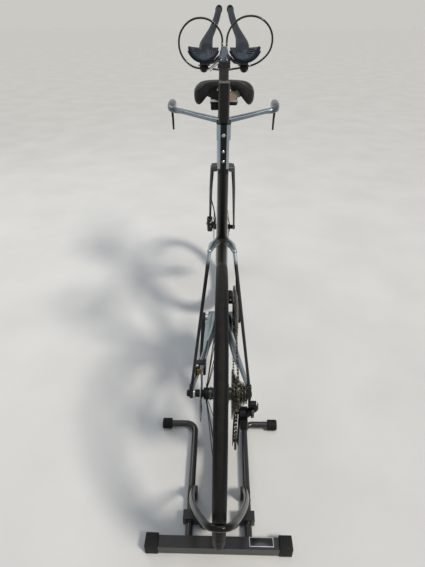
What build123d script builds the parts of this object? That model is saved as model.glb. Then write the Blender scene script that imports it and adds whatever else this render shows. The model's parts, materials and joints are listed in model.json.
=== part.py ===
from math import atan2, cos, hypot, pi, radians, sin, sqrt, tan
from build123d import *
import os

os.makedirs("parts", exist_ok=True)

# Time trial bicycle on a wheel stand, in millimetres. +Y is forward, +X is the drive side, +Z is up.
WHEELBASE = 995.0
WHEEL_R = 339.0            # outside of the tyre
HOOP_R = 7.0               # the stand's hoop tube
TYRE_CLEAR = 5.0           # running gap around a tyre
REAR_REACH = WHEEL_R + TYRE_CLEAR + 2 * HOOP_R   # how far the hoop reaches behind the rear axle
RY = -(WHEELBASE + WHEEL_R - REAR_REACH) / 2   # the rear axle's place along Y
FY = RY + WHEELBASE        # the front axle's place along Y
FIT = 0.3                  # gap between seated pieces
RUN = 0.05                 # radial clearance of a shaft in its bearing


def floor(x, y, z):
    """A point given from the floor under the rear axle."""
    return Vector(x, RY + y, z)


def rear(x, y, z):
    """A point given from the rear axle's centre."""
    return Vector(x, RY + y, WHEEL_R + z)


def front(x, y, z):
    """A point given from the front axle's centre."""
    return Vector(x, FY + y, WHEEL_R + z)


def rod(a, b, r, r2=None):
    """A round bar from a to b, tapered where r2 is given."""
    a, b = Vector(*a), Vector(*b)
    plane = Plane(origin=a, z_dir=b - a)
    with BuildSketch(plane) as first:
        Circle(r)
    if r2 is None:
        extrude(first.sketch, amount=(b - a).length)
    else:
        with BuildSketch(plane.offset((b - a).length)) as last:
            Circle(r2)
        loft([first.sketch.face(), last.sketch.face()])


def ball(c, r):
    with Locations(Vector(*c)):
        Sphere(r)


def block(c, size, turn=0.0):
    """A box around c, turned about X."""
    with Locations(Location(Vector(*c), (turn, 0, 0))):
        Box(*size)


def bar(stations, direction=(0, 0, 1), across=(1, 0, 0)):
    """A loft of rounded rectangles: each station is (centre, width, depth, corner)."""
    faces = []
    for centre, w, d, corner in stations:
        with BuildSketch(Plane(origin=centre, z_dir=direction, x_dir=across)) as s:
            RectangleRounded(w, d, corner)
        faces.append(s.sketch.face())
    loft(faces, ruled=True)


def route(points, r, share=0.45):
    """A round cord along points, each corner an arc as large as its runs allow."""
    pts = [Vector(*p) for p in points]
    with BuildLine() as path:
        here = pts[0]
        for before, corner, after in zip(pts, pts[1:], pts[2:]):
            u = (corner - before).normalized()
            v = (after - corner).normalized()
            turn = radians(u.get_angle(v))
            t = share * min((corner - before).length, (after - corner).length)
            radius = t / tan(turn / 2)
            start, end = corner - u * t, corner + v * t
            inward = (v - u).normalized()
            middle = corner + inward * (radius / cos(turn / 2) - radius)
            Line(here, start)
            ThreePointArc(start, middle, end)
            here = end
        Line(here, pts[-1])
    with BuildSketch(Plane(origin=pts[0], z_dir=pts[1] - pts[0])) as section:
        Circle(r)
    sweep(sections=section.sketch, path=path.line)


def ring(profile, y, z):
    """A ring about an axle at y, z, from a list of (x, radius)."""
    with BuildSketch(Plane(origin=(0, y, z), x_dir=(1, 0, 0), z_dir=(0, -1, 0))) as s:
        Polygon(*profile, align=None)
    revolve(s.sketch, axis=Axis((0, y, z), (1, 0, 0)))


# Wheels
TYRE_HIGH = 21.6           # from the rim to the tread
TYRE_HALF = [
    # half width, depth below the tread
    (10.5, TYRE_HIGH), (14.0, 14.0), (12.0, 6.8), (6.6, 1.6),
]
TYRE_SECTION = ([(-x, WHEEL_R - d) for x, d in TYRE_HALF] + [(0.0, WHEEL_R)]
                + [(x, WHEEL_R - d) for x, d in reversed(TYRE_HALF)])
RIM_TOP = WHEEL_R - TYRE_HIGH - FIT
RIM_DEEP = 51.0
RIM_BED = RIM_TOP - RIM_DEEP
RIM_HALF = [
    # half width, depth below the rim's edge
    (12.0, 0.0), (13.4, 12.0), (12.6, 29.0), (8.5, 46.0), (4.0, RIM_DEEP),
]
RIM_SECTION = ([(x, RIM_TOP - d) for x, d in RIM_HALF]
               + [(-x, RIM_TOP - d) for x, d in reversed(RIM_HALF)])
SPOKE_R = 1.0
AXLE_R = 6.0

REAR = dict(y=RY, over=70.6, left=-35.0, right=20.0, barrel=15.0, flange=25.0, spokes=24)
FRONT = dict(y=FY, over=49.6, left=-23.0, right=34.0, barrel=12.0, flange=22.0, spokes=20)

with BuildPart() as rear_tyre:
    ring(TYRE_SECTION, RY, WHEEL_R)
rear_tyre.part.label = "rear_tyre"
export_step(rear_tyre.part, "parts/rear_tyre.step")

with BuildPart() as front_tyre:
    ring(TYRE_SECTION, FY, WHEEL_R)
front_tyre.part.label = "front_tyre"
export_step(front_tyre.part, "parts/front_tyre.step")

with BuildPart() as rear_rim:
    ring(RIM_SECTION, RY, WHEEL_R)
rear_rim.part.label = "rear_rim"
export_step(rear_rim.part, "parts/rear_rim.step")

with BuildPart() as front_rim:
    ring(RIM_SECTION, FY, WHEEL_R)
front_rim.part.label = "front_rim"
export_step(front_rim.part, "parts/front_rim.step")


def hub(w):
    """A hub with its flanges, end caps and spokes."""
    bore = AXLE_R + RUN
    b, f, left, right, over = w["barrel"], w["flange"], w["left"], w["right"], w["over"]
    ring([(-over, bore), (-over, 9.5), (left - 8, 9.5), (left - 8, b), (left - 2, b), (left - 2, f), (left + 2, f),
          (left + 2, b), (right - 2, b), (right - 2, f), (right + 2, f), (right + 2, b), (right + 4, b),
          (right + 4, 9.5), (over, 9.5), (over, bore)], w["y"], WHEEL_R)
    n = w["spokes"]
    for k in range(n):
        side = left if k % 2 else right
        a = 2 * pi * k / n
        inner, outer = f - 3.0, RIM_BED - FIT
        rod((side, w["y"] + inner * sin(a), WHEEL_R + inner * cos(a)),
            (0.0 + side * 0.06, w["y"] + outer * sin(a), WHEEL_R + outer * cos(a)), SPOKE_R)


with BuildPart() as rear_hub:
    hub(REAR)
rear_hub.part.label = "rear_hub"
export_step(rear_hub.part, "parts/rear_hub.step")

with BuildPart() as front_hub:
    hub(FRONT)
front_hub.part.label = "front_hub"
export_step(front_hub.part, "parts/front_hub.step")

ROTOR_R = 70.0
ROTOR_THICK = 1.8
REAR_ROTOR_X = -49.0
FRONT_ROTOR_X = -36.0


def rotor(x, y):
    """A disc rotor: brake track, carrier ring and six arms."""
    plane = Plane(origin=(x, y, WHEEL_R), x_dir=(0, 1, 0), z_dir=(1, 0, 0))
    with BuildSketch(plane) as s:
        Circle(ROTOR_R)
        Circle(ROTOR_R - 14.0, mode=Mode.SUBTRACT)
        with PolarLocations(0, 6):
            with Locations((38.0, 0)):
                Rectangle(44.0, 6.0)
        Circle(22.0)
        Circle(9.5 + FIT, mode=Mode.SUBTRACT)
    extrude(s.sketch, amount=ROTOR_THICK / 2, both=True)


with BuildPart() as rear_rotor:
    rotor(REAR_ROTOR_X, RY)
rear_rotor.part.label = "rear_rotor"
export_step(rear_rotor.part, "parts/rear_rotor.step")

with BuildPart() as front_rotor:
    rotor(FRONT_ROTOR_X, FY)
front_rotor.part.label = "front_rotor"
export_step(front_rotor.part, "parts/front_rotor.step")

# Drivetrain
PITCH = 12.7
CHAINLINE = 45.0
CHAIN_HALF = 2.6           # half the chain's width
CHAIN_HIGH = 4.2           # half the chain's depth
TOOTH_GAP = 0.4
STAY_GAP = 66.0            # from the tyre forward to the cranks' axis
BB_DROP = 69.0             # the cranks' axis below the wheels' axles
BB_AHEAD = WHEEL_R + STAY_GAP
BB_Y, BB_Z = RY + BB_AHEAD, WHEEL_R - BB_DROP
CRANK_DIP = radians(16.0)  # the left arm points back and down by this


def pitch_r(teeth):
    return PITCH / (2 * sin(pi / teeth))


RING_TEETH, COG_TEETH, PULLEY_TEETH = 54, 19, 11
GUIDE = (RY - 2.0, WHEEL_R - 71.0)
TENSION = (RY + 12.0, WHEEL_R - 209.0)
PULLEYS = [
    # y, z, pitch radius, sense of wrap
    (BB_Y, BB_Z, pitch_r(RING_TEETH), 1),
    (RY, WHEEL_R, pitch_r(COG_TEETH), 1),
    (GUIDE[0], GUIDE[1], pitch_r(PULLEY_TEETH), -1),
    (TENSION[0], TENSION[1], pitch_r(PULLEY_TEETH), 1),
]


def loop_face(offset):
    """The face inside the chain's path, moved outward by offset."""
    legs = []
    count = len(PULLEYS)
    for i in range(count):
        y0, z0, r0, s0 = PULLEYS[i]
        y1, z1, r1, s1 = PULLEYS[(i + 1) % count]
        k0, k1 = s0 * r0 + offset, s1 * r1 + offset
        dy, dz = y1 - y0, z1 - z0
        k = k1 - k0
        run = sqrt(dy * dy + dz * dz - k * k)
        a = atan2(dz, dy) - atan2(k, run)
        ny, nz = -sin(a), cos(a)
        legs.append(((y0 - k0 * ny, z0 - k0 * nz), (y1 - k1 * ny, z1 - k1 * nz)))
    with BuildSketch(Plane.YZ.offset(CHAINLINE - CHAIN_HALF)) as s:
        with BuildLine():
            for i in range(count):
                start, end = legs[i]
                Line(start, end)
                cy, cz, r, sense = PULLEYS[(i + 1) % count]
                nxt = legs[(i + 1) % count][0]
                a0 = atan2(end[1] - cz, end[0] - cy)
                a1 = atan2(nxt[1] - cz, nxt[0] - cy)
                while (a1 - a0) * sense < 0:
                    a1 += 2 * pi * sense
                m = (a0 + a1) / 2
                rr = abs(sense * r + offset)
                ThreePointArc(end, (cy + rr * cos(m), cz + rr * sin(m)), nxt)
        make_face()
    return s.sketch.face()


with BuildPart() as chain:
    extrude(loop_face(CHAIN_HIGH), amount=2 * CHAIN_HALF, dir=(1, 0, 0))
    extrude(loop_face(-CHAIN_HIGH), amount=2 * CHAIN_HALF, dir=(1, 0, 0), mode=Mode.SUBTRACT)
chain.part.label = "chain"
export_step(chain.part, "parts/chain.step")

COGS = [11, 12, 13, 14, 15, 17, 19, 21, 24, 27, 30]
COG_STEP = 3.7
COG_THICK = 1.6
COG_CORE = 19.0

with BuildPart() as cassette:
    position = COGS.index(COG_TEETH)
    low = CHAINLINE - (len(COGS) - 1 - position) * COG_STEP
    for i, teeth in enumerate(COGS):
        x = CHAINLINE + (position - i) * COG_STEP
        tip = pitch_r(teeth) - CHAIN_HIGH - TOOTH_GAP if teeth == COG_TEETH else pitch_r(teeth) + 2.5
        rod((x - COG_THICK / 2, RY, WHEEL_R), (x + COG_THICK / 2, RY, WHEEL_R), tip)
    rod((low, RY, WHEEL_R), (CHAINLINE + position * COG_STEP, RY, WHEEL_R), COG_CORE)
    with BuildSketch(Plane.YZ.offset(low - 5)) as core_bore:
        with Locations((RY, WHEEL_R)):
            Circle(9.5 + FIT)
    extrude(core_bore.sketch, amount=80, mode=Mode.SUBTRACT)
cassette.part.label = "cassette"
export_step(cassette.part, "parts/cassette.step")

SPINDLE_R = 12.0
ARM_IN, ARM_OUT = 54.0, 67.0
ARM_LENGTH = 170.0
PEDAL_R = 7.14             # 9/16 inch pedal thread
RING_TIP = pitch_r(RING_TEETH) - CHAIN_HIGH - TOOTH_GAP
RING_THICK = 3.6


def crank_arm(side, back):
    """An arm on side +1 or -1, pointing back or forward, with its pedal hole."""
    y = BB_Y - back * ARM_LENGTH * cos(CRANK_DIP)
    z = BB_Z - back * ARM_LENGTH * sin(CRANK_DIP)
    with BuildSketch(Plane.YZ.offset(side * ARM_IN if side > 0 else -ARM_OUT)) as s:
        with Locations((BB_Y, BB_Z)):
            Circle(18.0)
        with Locations((y, z)):
            Circle(12.5)
        make_hull()
        with Locations((y, z)):
            Circle(PEDAL_R, mode=Mode.SUBTRACT)
    extrude(s.sketch, amount=ARM_OUT - ARM_IN, dir=(1, 0, 0))
    with BuildSketch(Plane.YZ.offset(-80)) as bore:
        with Locations((BB_Y, BB_Z)):
            Circle(SPINDLE_R + RUN)
    extrude(bore.sketch, amount=160, dir=(1, 0, 0), mode=Mode.SUBTRACT)


with BuildPart() as crank_left:
    crank_arm(-1, 1)
crank_left.part.label = "crank_left"
export_step(crank_left.part, "parts/crank_left.step")

with BuildPart() as crank_right:
    with BuildSketch(Plane.YZ.offset(CHAINLINE + RING_THICK / 2 + FIT)) as spider:
        with Locations((BB_Y, BB_Z)):
            Circle(26.0)
            with PolarLocations(0, 5, start_angle=20):
                with Locations((46.0, 0)):
                    Rectangle(76.0, 14.0)
    extrude(spider.sketch, amount=ARM_IN - CHAINLINE - RING_THICK / 2 - FIT + 1, dir=(1, 0, 0))
    crank_arm(1, -1)
crank_right.part.label = "crank_right"
export_step(crank_right.part, "parts/crank_right.step")

with BuildPart() as chainring:
    with BuildSketch(Plane.YZ.offset(CHAINLINE - RING_THICK / 2)) as plate:
        with Locations((BB_Y, BB_Z)):
            Circle(RING_TIP)
            Circle(72.0, mode=Mode.SUBTRACT)
    extrude(plate.sketch, amount=RING_THICK, dir=(1, 0, 0))
chainring.part.label = "chainring"
export_step(chainring.part, "parts/chainring.step")

with BuildPart() as spindle:
    rod((-ARM_OUT, BB_Y, BB_Z), (ARM_OUT, BB_Y, BB_Z), SPINDLE_R)
spindle.part.label = "spindle"
export_step(spindle.part, "parts/spindle.step")

# Frame
HEAD_ANGLE = radians(72.5)
RAKE = 45.0
AXIS_DIR = Vector(0, -cos(HEAD_ANGLE), sin(HEAD_ANGLE))
AXIS_FOOT = Vector(0, FY - RAKE * sin(HEAD_ANGLE), WHEEL_R - RAKE * cos(HEAD_ANGLE))
CROWN = WHEEL_R + 17.0     # along the steering axis, clear of the tyre
HEAD_LOW = CROWN + 12.0
HEAD_TOP = HEAD_LOW + 110.0
HEAD_R = 23.0
STEERER_R = 14.3


def on_axis(t, x=0.0, y=0.0):
    """A point on the steering axis, t above its foot beside the front axle, set off by x and y."""
    return AXIS_FOOT + AXIS_DIR * t + Vector(x, y, 0)


SEAT_TOP = 501.0           # heights above the axles
SEAT_SLOPE = -0.21777      # how far the seat tube leans back for each millimetre up


def on_seat(h, y=0.0):
    """A point on the seat tube's centre line, h above the axles, set off by y."""
    return rear(0, BB_AHEAD + (h + BB_DROP) * SEAT_SLOPE + y, h)


DROP_IN, DROP_OUT = 71.0, 79.0
BB_HALF = 40.0

STAY_JOIN = WHEEL_R - 61.0 # where the seat stays leave the seat tube, above the axles
CHAIN_STAY = [
    # ahead of the axle, height from the axle, side, width, depth, corner
    (BB_AHEAD - 7, 2 - BB_DROP, 20, 20, 48, 8),
    (BB_AHEAD - 105, -48, 27, 13, 40, 6),
    (14, 0, 75, 7, 22, 3),
]

with BuildPart() as frame:
    # seat tube
    bar([(on_seat(-8 - BB_DROP), 40, 52, 12), (on_seat(81), 28, 56, 11), (on_seat(SEAT_TOP), 27, 56, 11)])
    # top tube
    bar([(on_seat(SEAT_TOP - 54, -8.6), 26, 46, 10), (on_axis(HEAD_TOP - 41, 0, -21), 34, 56, 13)],
        direction=(0, 1, 0))
    # down tube
    bar([(rear(0, BB_AHEAD - 7, 10 - BB_DROP), 44, 60, 14), (on_axis(HEAD_LOW + 31, 0, -32), 38, 54, 14)],
        direction=(0, 0.7, 0.714))
    # head tube
    rod(on_axis(HEAD_LOW + 1.0), on_axis(HEAD_TOP - 1.0), HEAD_R)
    # bottom bracket shell
    rod((-BB_HALF, BB_Y, BB_Z), (BB_HALF, BB_Y, BB_Z), 22.5)
    # seat stays with their shoulders
    for side in (-1, 1):
        shoulder = on_seat(STAY_JOIN + 19, -105.7) + Vector(side * 33, 0, 0)
        bend = on_seat(STAY_JOIN + 10, -58) + Vector(side * 27, 0, 0)
        rod(on_seat(STAY_JOIN, 4) + Vector(side * 3, 0, 0), bend, 12, 10)
        ball(bend, 10)
        rod(bend, shoulder, 10, 6.4)
        ball(shoulder, 6.4)
        bar([(shoulder, 10, 14, 4), (rear(side * 74.8, 2, 13), 7, 14, 3)])
    # chain stays
    for side in (-1, 1):
        bar([(rear(side * x, y, h), w, d, c) for y, h, x, w, d, c in CHAIN_STAY], direction=(0, -1, 0))
        # dropout
        with BuildSketch(Plane.YZ.offset(DROP_IN if side > 0 else -DROP_OUT)) as drop:
            with Locations((RY, WHEEL_R)):
                Circle(13.0)
            with Locations((RY + 20, WHEEL_R + 2)):
                Circle(9.0)
            with Locations((RY + 2, WHEEL_R + 22)):
                Circle(7.0)
            make_hull()
        extrude(drop.sketch, amount=DROP_OUT - DROP_IN, dir=(1, 0, 0))
    # bores
    with BuildSketch(Plane.YZ.offset(-100)) as bores:
        with Locations((RY, WHEEL_R)):
            Circle(AXLE_R + RUN)
        with Locations((BB_Y, BB_Z)):
            Circle(SPINDLE_R + RUN)
    extrude(bores.sketch, amount=200, dir=(1, 0, 0), mode=Mode.SUBTRACT)
    with BuildSketch(Plane(origin=on_axis(HEAD_LOW - 20), z_dir=AXIS_DIR)) as head_bore:
        Circle(STEERER_R + RUN)
    extrude(head_bore.sketch, amount=200, mode=Mode.SUBTRACT)
frame.part.label = "frame"
export_step(frame.part, "parts/frame.step")

with BuildPart() as rear_axle:
    rod((-DROP_OUT, RY, WHEEL_R), (DROP_OUT, RY, WHEEL_R), AXLE_R)
    rod((-DROP_OUT - 5, RY, WHEEL_R), (-DROP_OUT, RY, WHEEL_R), 9.0)
rear_axle.part.label = "rear_axle"
export_step(rear_axle.part, "parts/rear_axle.step")

# Seat
COLLAR_LOW = SEAT_TOP + 76.0
COLLAR_TOP = COLLAR_LOW + 36.0
RAIL_H = COLLAR_TOP + 29.0 # the rails' height above the axles
POST_TOP = RAIL_H + 56.0
with BuildPart() as seat_mast:
    bar([(on_seat(SEAT_TOP + FIT), 27, 56, 11), (on_seat(COLLAR_LOW), 27, 54, 11)])
seat_mast.part.label = "seat_mast"
export_step(seat_mast.part, "parts/seat_mast.step")

with BuildPart() as seat_collar:
    bar([(on_seat(COLLAR_LOW + FIT), 33, 60, 12), (on_seat(COLLAR_TOP), 33, 58, 12)])
seat_collar.part.label = "seat_collar"
export_step(seat_collar.part, "parts/seat_collar.step")

CLAMP_Y = 152.0            # the rail clamp, ahead of the seat tube's line at the rails' height
RAIL_R = 3.5
RAIL_X = 22.0
NOSE_RAIL_X = 14.0
RAIL_RISE = 14.0           # how far the rails' ends stand above their middle
BEAM_WIDE = 22.0
BEAM_DEEP = 20.0
SADDLE_TILT = 8.5          # degrees, nose down
with BuildPart() as seatpost:
    bar([(on_seat(COLLAR_TOP + FIT), 24, 46, 9), (on_seat(POST_TOP), 24, 34, 8)])
    bar([(on_seat(RAIL_H - 16, 4), BEAM_WIDE, BEAM_DEEP, 6), (on_seat(RAIL_H - 14, CLAMP_Y + 20), BEAM_WIDE, 16, 5)],
        direction=(0, 1, 0))
seatpost.part.label = "seatpost"
export_step(seatpost.part, "parts/seatpost.step")


def saddle_at(x, y, z):
    """A point given from the rail clamp, in the saddle's tilted frame."""
    tilted = Vector(x, y, z).rotate(Axis.X, -SADDLE_TILT)
    return on_seat(RAIL_H, CLAMP_Y) + tilted


RAIL_BACK, RAIL_FRONT = -75.0, 112.0
with BuildPart() as saddle_rails:
    for side in (-1, 1):
        route([saddle_at(side * RAIL_X, RAIL_BACK, RAIL_RISE), saddle_at(side * RAIL_X, RAIL_BACK + 17, RAIL_RISE),
               saddle_at(side * RAIL_X, RAIL_BACK + 37, 0), saddle_at(side * RAIL_X, RAIL_FRONT - 60, 0),
               saddle_at(side * NOSE_RAIL_X, RAIL_FRONT - 22, RAIL_RISE),
               saddle_at(side * NOSE_RAIL_X, RAIL_FRONT, RAIL_RISE)], RAIL_R)
saddle_rails.part.label = "saddle_rails"
export_step(saddle_rails.part, "parts/saddle_rails.step")

CLAMP_LONG = 36.0
with BuildPart() as rail_clamp:
    block(saddle_at(0, 0, RAIL_R + FIT + 2.5), (68, CLAMP_LONG, 5), -SADDLE_TILT)
    for side in (-1, 1):
        block(saddle_at(side * (BEAM_WIDE / 2 + FIT + 11.5), 0, -RAIL_R - FIT - 3), (23, CLAMP_LONG, 6), -SADDLE_TILT)
        rod(saddle_at(side * (RAIL_X + 8.4), 0, -9), saddle_at(side * (RAIL_X + 8.4), 0, 10), 3)
rail_clamp.part.label = "rail_clamp"
export_step(rail_clamp.part, "parts/rail_clamp.step")

SADDLE_STATIONS = [
    # ahead of the clamp, half width, crown above the rails, droop at the edge
    (-100.0, 54.0, 34.0, 34.0),
    (-82.0, 69.0, 38.0, 52.0),
    (-40.0, 70.0, 40.0, 50.0),
    (10.0, 48.0, 40.0, 32.0),
    (60.0, 26.0, 38.0, 18.0),
    (145.0, 19.0, 36.0, 15.0),
]
SADDLE_SKIN = 12.0
SADDLE_TOP_LINE = [
    # share of the half width, share of the droop
    (0.9, 1.0), (1.0, 0.68), (0.98, 0.36), (0.83, 0.13), (0.5, 0.02), (0.0, 0.0),
]
SADDLE_UNDER_LINE = [
    # share of the half width, share of the droop, share of the skin
    (0.0, 0.0, 1.0), (0.4, 0.04, 1.0), (0.6, 0.2, 1.0), (0.68, 0.5, 0.8), (0.74, 0.74, 0.4),
]
with BuildPart() as saddle:
    faces = []
    for y, half, crown, droop in SADDLE_STATIONS:
        top = [(half * x, -droop * z) for x, z in SADDLE_TOP_LINE]
        under = [(half * x, -droop * z - SADDLE_SKIN * skin) for x, z, skin in SADDLE_UNDER_LINE]
        loop = top + [(-x, z) for x, z in reversed(top[:-1])] + [(-x, z) for x, z in reversed(under[1:])] + under
        backward = Vector(0, -1, 0).rotate(Axis.X, -SADDLE_TILT)
        with BuildSketch(Plane(origin=saddle_at(0, y, crown), x_dir=(1, 0, 0), z_dir=backward)) as s:
            Polygon(*loop, align=None)
        faces.append(s.sketch.face())
    loft(faces, ruled=True)
    for side in (-1, 1):
        block(saddle_at(side * RAIL_X, RAIL_BACK - FIT - 6, RAIL_RISE + 6), (12, 12, 20), -SADDLE_TILT)
    block(saddle_at(0, RAIL_FRONT + FIT + 6, RAIL_RISE + 5), (34, 12, 20), -SADDLE_TILT)
saddle.part.label = "saddle"
export_step(saddle.part, "parts/saddle.step")

# Rear brake and gear
CALIPER_AHEAD = 76.0
with BuildPart() as rear_caliper:
    y0, h0, x0, w0, d0, c0 = CHAIN_STAY[1]
    y1, h1, x1, w1, d1, c1 = CHAIN_STAY[2]
    stay_slope = ((h1 + d1 / 2) - (h0 + d0 / 2)) / (y0 - y1)
    stay_top = rear(-54, CALIPER_AHEAD, h1 + d1 / 2 - (CALIPER_AHEAD - y1) * stay_slope)
    lift = Vector(0, stay_slope, 1).normalized() * (13 + FIT)
    block(stay_top + lift, (30, 46, 26), -atan2(stay_slope, 1) * 180 / pi)
    with BuildSketch(Plane.YZ.offset(REAR_ROTOR_X - 2.2)) as slot:
        with Locations((RY, WHEEL_R)):
            Circle(ROTOR_R + 3)
    extrude(slot.sketch, amount=4.4, dir=(1, 0, 0), mode=Mode.SUBTRACT)
rear_caliper.part.label = "rear_caliper"
export_step(rear_caliper.part, "parts/rear_caliper.step")

REAR_HOSE_R = 2.5
with BuildPart() as rear_hose:
    slope = Vector(0, 1, -stay_slope).normalized()
    rise = lift.normalized()
    hose_start = stay_top + rise * (REAR_HOSE_R + FIT) + slope * (23 + FIT) + Vector(4, 0, 0)
    route([hose_start + rise * 6, hose_start + slope * 44 + rise * 6 + Vector(5, 0, 0),
           hose_start + slope * 120 + Vector(9.5, 0, 0)], REAR_HOSE_R)
rear_hose.part.label = "rear_hose"
export_step(rear_hose.part, "parts/rear_hose.step")

CAGE_IN, CAGE_OUT = CHAINLINE - 6.0, CHAINLINE + 6.0
with BuildPart() as derailleur:
    rod((DROP_OUT + 0.3, RY - 4, WHEEL_R - 34), (DROP_OUT + 15, RY - 4, WHEEL_R - 34), 9)
    rod((DROP_OUT + 12, RY - 4, WHEEL_R - 49), (CAGE_OUT + 12, GUIDE[0] - 6, GUIDE[1] - 2), 10, 12)
    rod((DROP_OUT + 12, RY - 4, WHEEL_R - 34), (DROP_OUT + 12, RY - 4, WHEEL_R - 49), 9, 10)
    ball((DROP_OUT + 12, RY - 4, WHEEL_R - 49), 10)
    rod((CAGE_OUT, GUIDE[0], GUIDE[1]), (CAGE_OUT + 20, GUIDE[0], GUIDE[1]), 12)
    for x in (CAGE_IN, CAGE_OUT):
        with BuildSketch(Plane.YZ.offset(x - 1.0)) as plate:
            with Locations(GUIDE):
                Circle(11)
            with Locations(TENSION):
                Circle(9)
            make_hull()
        extrude(plate.sketch, amount=2.0, dir=(1, 0, 0))
    for y, z in (GUIDE, TENSION):
        rod((CAGE_IN, y, z), (CAGE_OUT, y, z), 4)
        rod((CHAINLINE - 1.6, y, z), (CHAINLINE + 1.6, y, z), pitch_r(PULLEY_TEETH) - CHAIN_HIGH - TOOTH_GAP)
derailleur.part.label = "derailleur"
export_step(derailleur.part, "parts/derailleur.step")

with BuildPart() as gear_hanger:
    with BuildSketch(Plane.YZ.offset(DROP_IN + 2.0)) as tab:
        with Locations((RY - 4, WHEEL_R - 34)):
            Circle(9)
        with Locations((RY, WHEEL_R - 24)):
            Circle(9)
        make_hull()
        with Locations((RY, WHEEL_R)):
            Circle(13.0 + FIT, mode=Mode.SUBTRACT)
    extrude(tab.sketch, amount=DROP_OUT - DROP_IN - 2.0, dir=(1, 0, 0))
gear_hanger.part.label = "gear_hanger"
export_step(gear_hanger.part, "parts/gear_hanger.step")

# Fork and front brake
FORK_IN, FORK_OUT = 50.0, 59.0
STEM_LOW = HEAD_TOP + 1.0
LEG_MIDDLE = CROWN - 100.0
LEG_X, LEG_DEPTH = 46.0, 34.0
FOOT_X, FOOT_DEPTH = 54.5, 20.0


def leg_middle(x):
    return on_axis(LEG_MIDDLE, x, 5.0)


def leg_foot(x):
    return front(x, -13.0, 13.0)


with BuildPart() as fork:
    rod(on_axis(CROWN), on_axis(STEM_LOW + 30), STEERER_R)
    rod(on_axis(CROWN + 1), on_axis(HEAD_LOW), 20.5, HEAD_R)
    for side in (-1, 1):
        bar([(on_axis(CROWN), 20, 42, 8), (on_axis(CROWN - 1, side * 22), 20, 40, 8),
             (on_axis(CROWN - 5, side * 44), 22, 34, 6)], direction=(side, 0, 0), across=AXIS_DIR)
        bar([(on_axis(CROWN - 1, side * 40, 2.0), 15, 36, 6), (leg_middle(side * LEG_X), 13, LEG_DEPTH, 5),
             (leg_foot(side * FOOT_X), 8, FOOT_DEPTH, 3)])
        with BuildSketch(Plane.YZ.offset(FORK_IN if side > 0 else -FORK_OUT)) as tip:
            with Locations((FY, WHEEL_R)):
                Circle(12.0)
            with Locations((FY - 12, WHEEL_R + 16)):
                Circle(9.0)
            make_hull()
        extrude(tip.sketch, amount=FORK_OUT - FORK_IN, dir=(1, 0, 0))
    with BuildSketch(Plane.YZ.offset(-100)) as tip_bore:
        with Locations((FY, WHEEL_R)):
            Circle(AXLE_R + RUN)
    extrude(tip_bore.sketch, amount=200, dir=(1, 0, 0), mode=Mode.SUBTRACT)
fork.part.label = "fork"
export_step(fork.part, "parts/fork.step")

with BuildPart() as front_axle:
    rod((-FORK_OUT, FY, WHEEL_R), (FORK_OUT, FY, WHEEL_R), AXLE_R)
    rod((-FORK_OUT - 5, FY, WHEEL_R), (-FORK_OUT, FY, WHEEL_R), 9.0)
front_axle.part.label = "front_axle"
export_step(front_axle.part, "parts/front_axle.step")

CALIPER_DEEP, CALIPER_LONG = 26.0, 48.0
CALIPER_UP = 42.0          # above the fork leg's foot
with BuildPart() as front_caliper:
    upper, lower = leg_middle(-42) - Vector(0, LEG_DEPTH / 2, 0), leg_foot(-42) - Vector(0, FOOT_DEPTH / 2, 0)
    leg_slope = (lower.Y - upper.Y) / (upper.Z - lower.Z)
    seat = lower + Vector(0, -leg_slope, 1) * CALIPER_UP
    off = Vector(0, -1, -leg_slope).normalized() * (CALIPER_DEEP / 2 + FIT)
    block(seat + off, (32, CALIPER_DEEP, CALIPER_LONG), atan2(leg_slope, 1) * 180 / pi)
    with BuildSketch(Plane.YZ.offset(FRONT_ROTOR_X - 2.2)) as front_slot:
        with Locations((FY, WHEEL_R)):
            Circle(ROTOR_R + 3)
    extrude(front_slot.sketch, amount=4.4, dir=(1, 0, 0), mode=Mode.SUBTRACT)
front_caliper.part.label = "front_caliper"
export_step(front_caliper.part, "parts/front_caliper.step")

FRONT_HOSE_R = 2.5
with BuildPart() as front_hose:
    up_leg = Vector(0, -leg_slope, 1).normalized()
    behind = off.normalized()
    route([seat + off + up_leg * (CALIPER_LONG / 2 + FIT) + Vector(12, 0, 0),
           seat + behind * 14 + up_leg * (CALIPER_LONG / 2 + 34) + Vector(11, 0, 0),
           seat + behind * 13 + up_leg * 108 + Vector(4, 0, 0),
           seat + behind * (FRONT_HOSE_R + FIT) + up_leg * 144 + Vector(-5, 0, 0)], FRONT_HOSE_R)
front_hose.part.label = "front_hose"
export_step(front_hose.part, "parts/front_hose.step")


# Cockpit
def bars(x, y, z):
    """A point given from the top of the head tube."""
    return on_axis(HEAD_TOP, x, y) + Vector(0, 0, z)


BAR_Y, BAR_Z = 62.0, 51.0
BAR_DEPTH = 35.0
with BuildPart() as stem:
    rod(on_axis(STEM_LOW), on_axis(STEM_LOW + 34), 20.0)
    bar([(bars(0, -12, 45), 40, 48, 12), (bars(0, BAR_Y - BAR_DEPTH / 2 - FIT, BAR_Z), 38, 16, 6)],
        direction=(0, 1, 0))
    with BuildSketch(Plane(origin=on_axis(STEM_LOW - 1), z_dir=AXIS_DIR)) as stem_bore:
        Circle(STEERER_R + RUN)
    extrude(stem_bore.sketch, amount=32, mode=Mode.SUBTRACT)
stem.part.label = "stem"
export_step(stem.part, "parts/stem.step")

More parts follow.
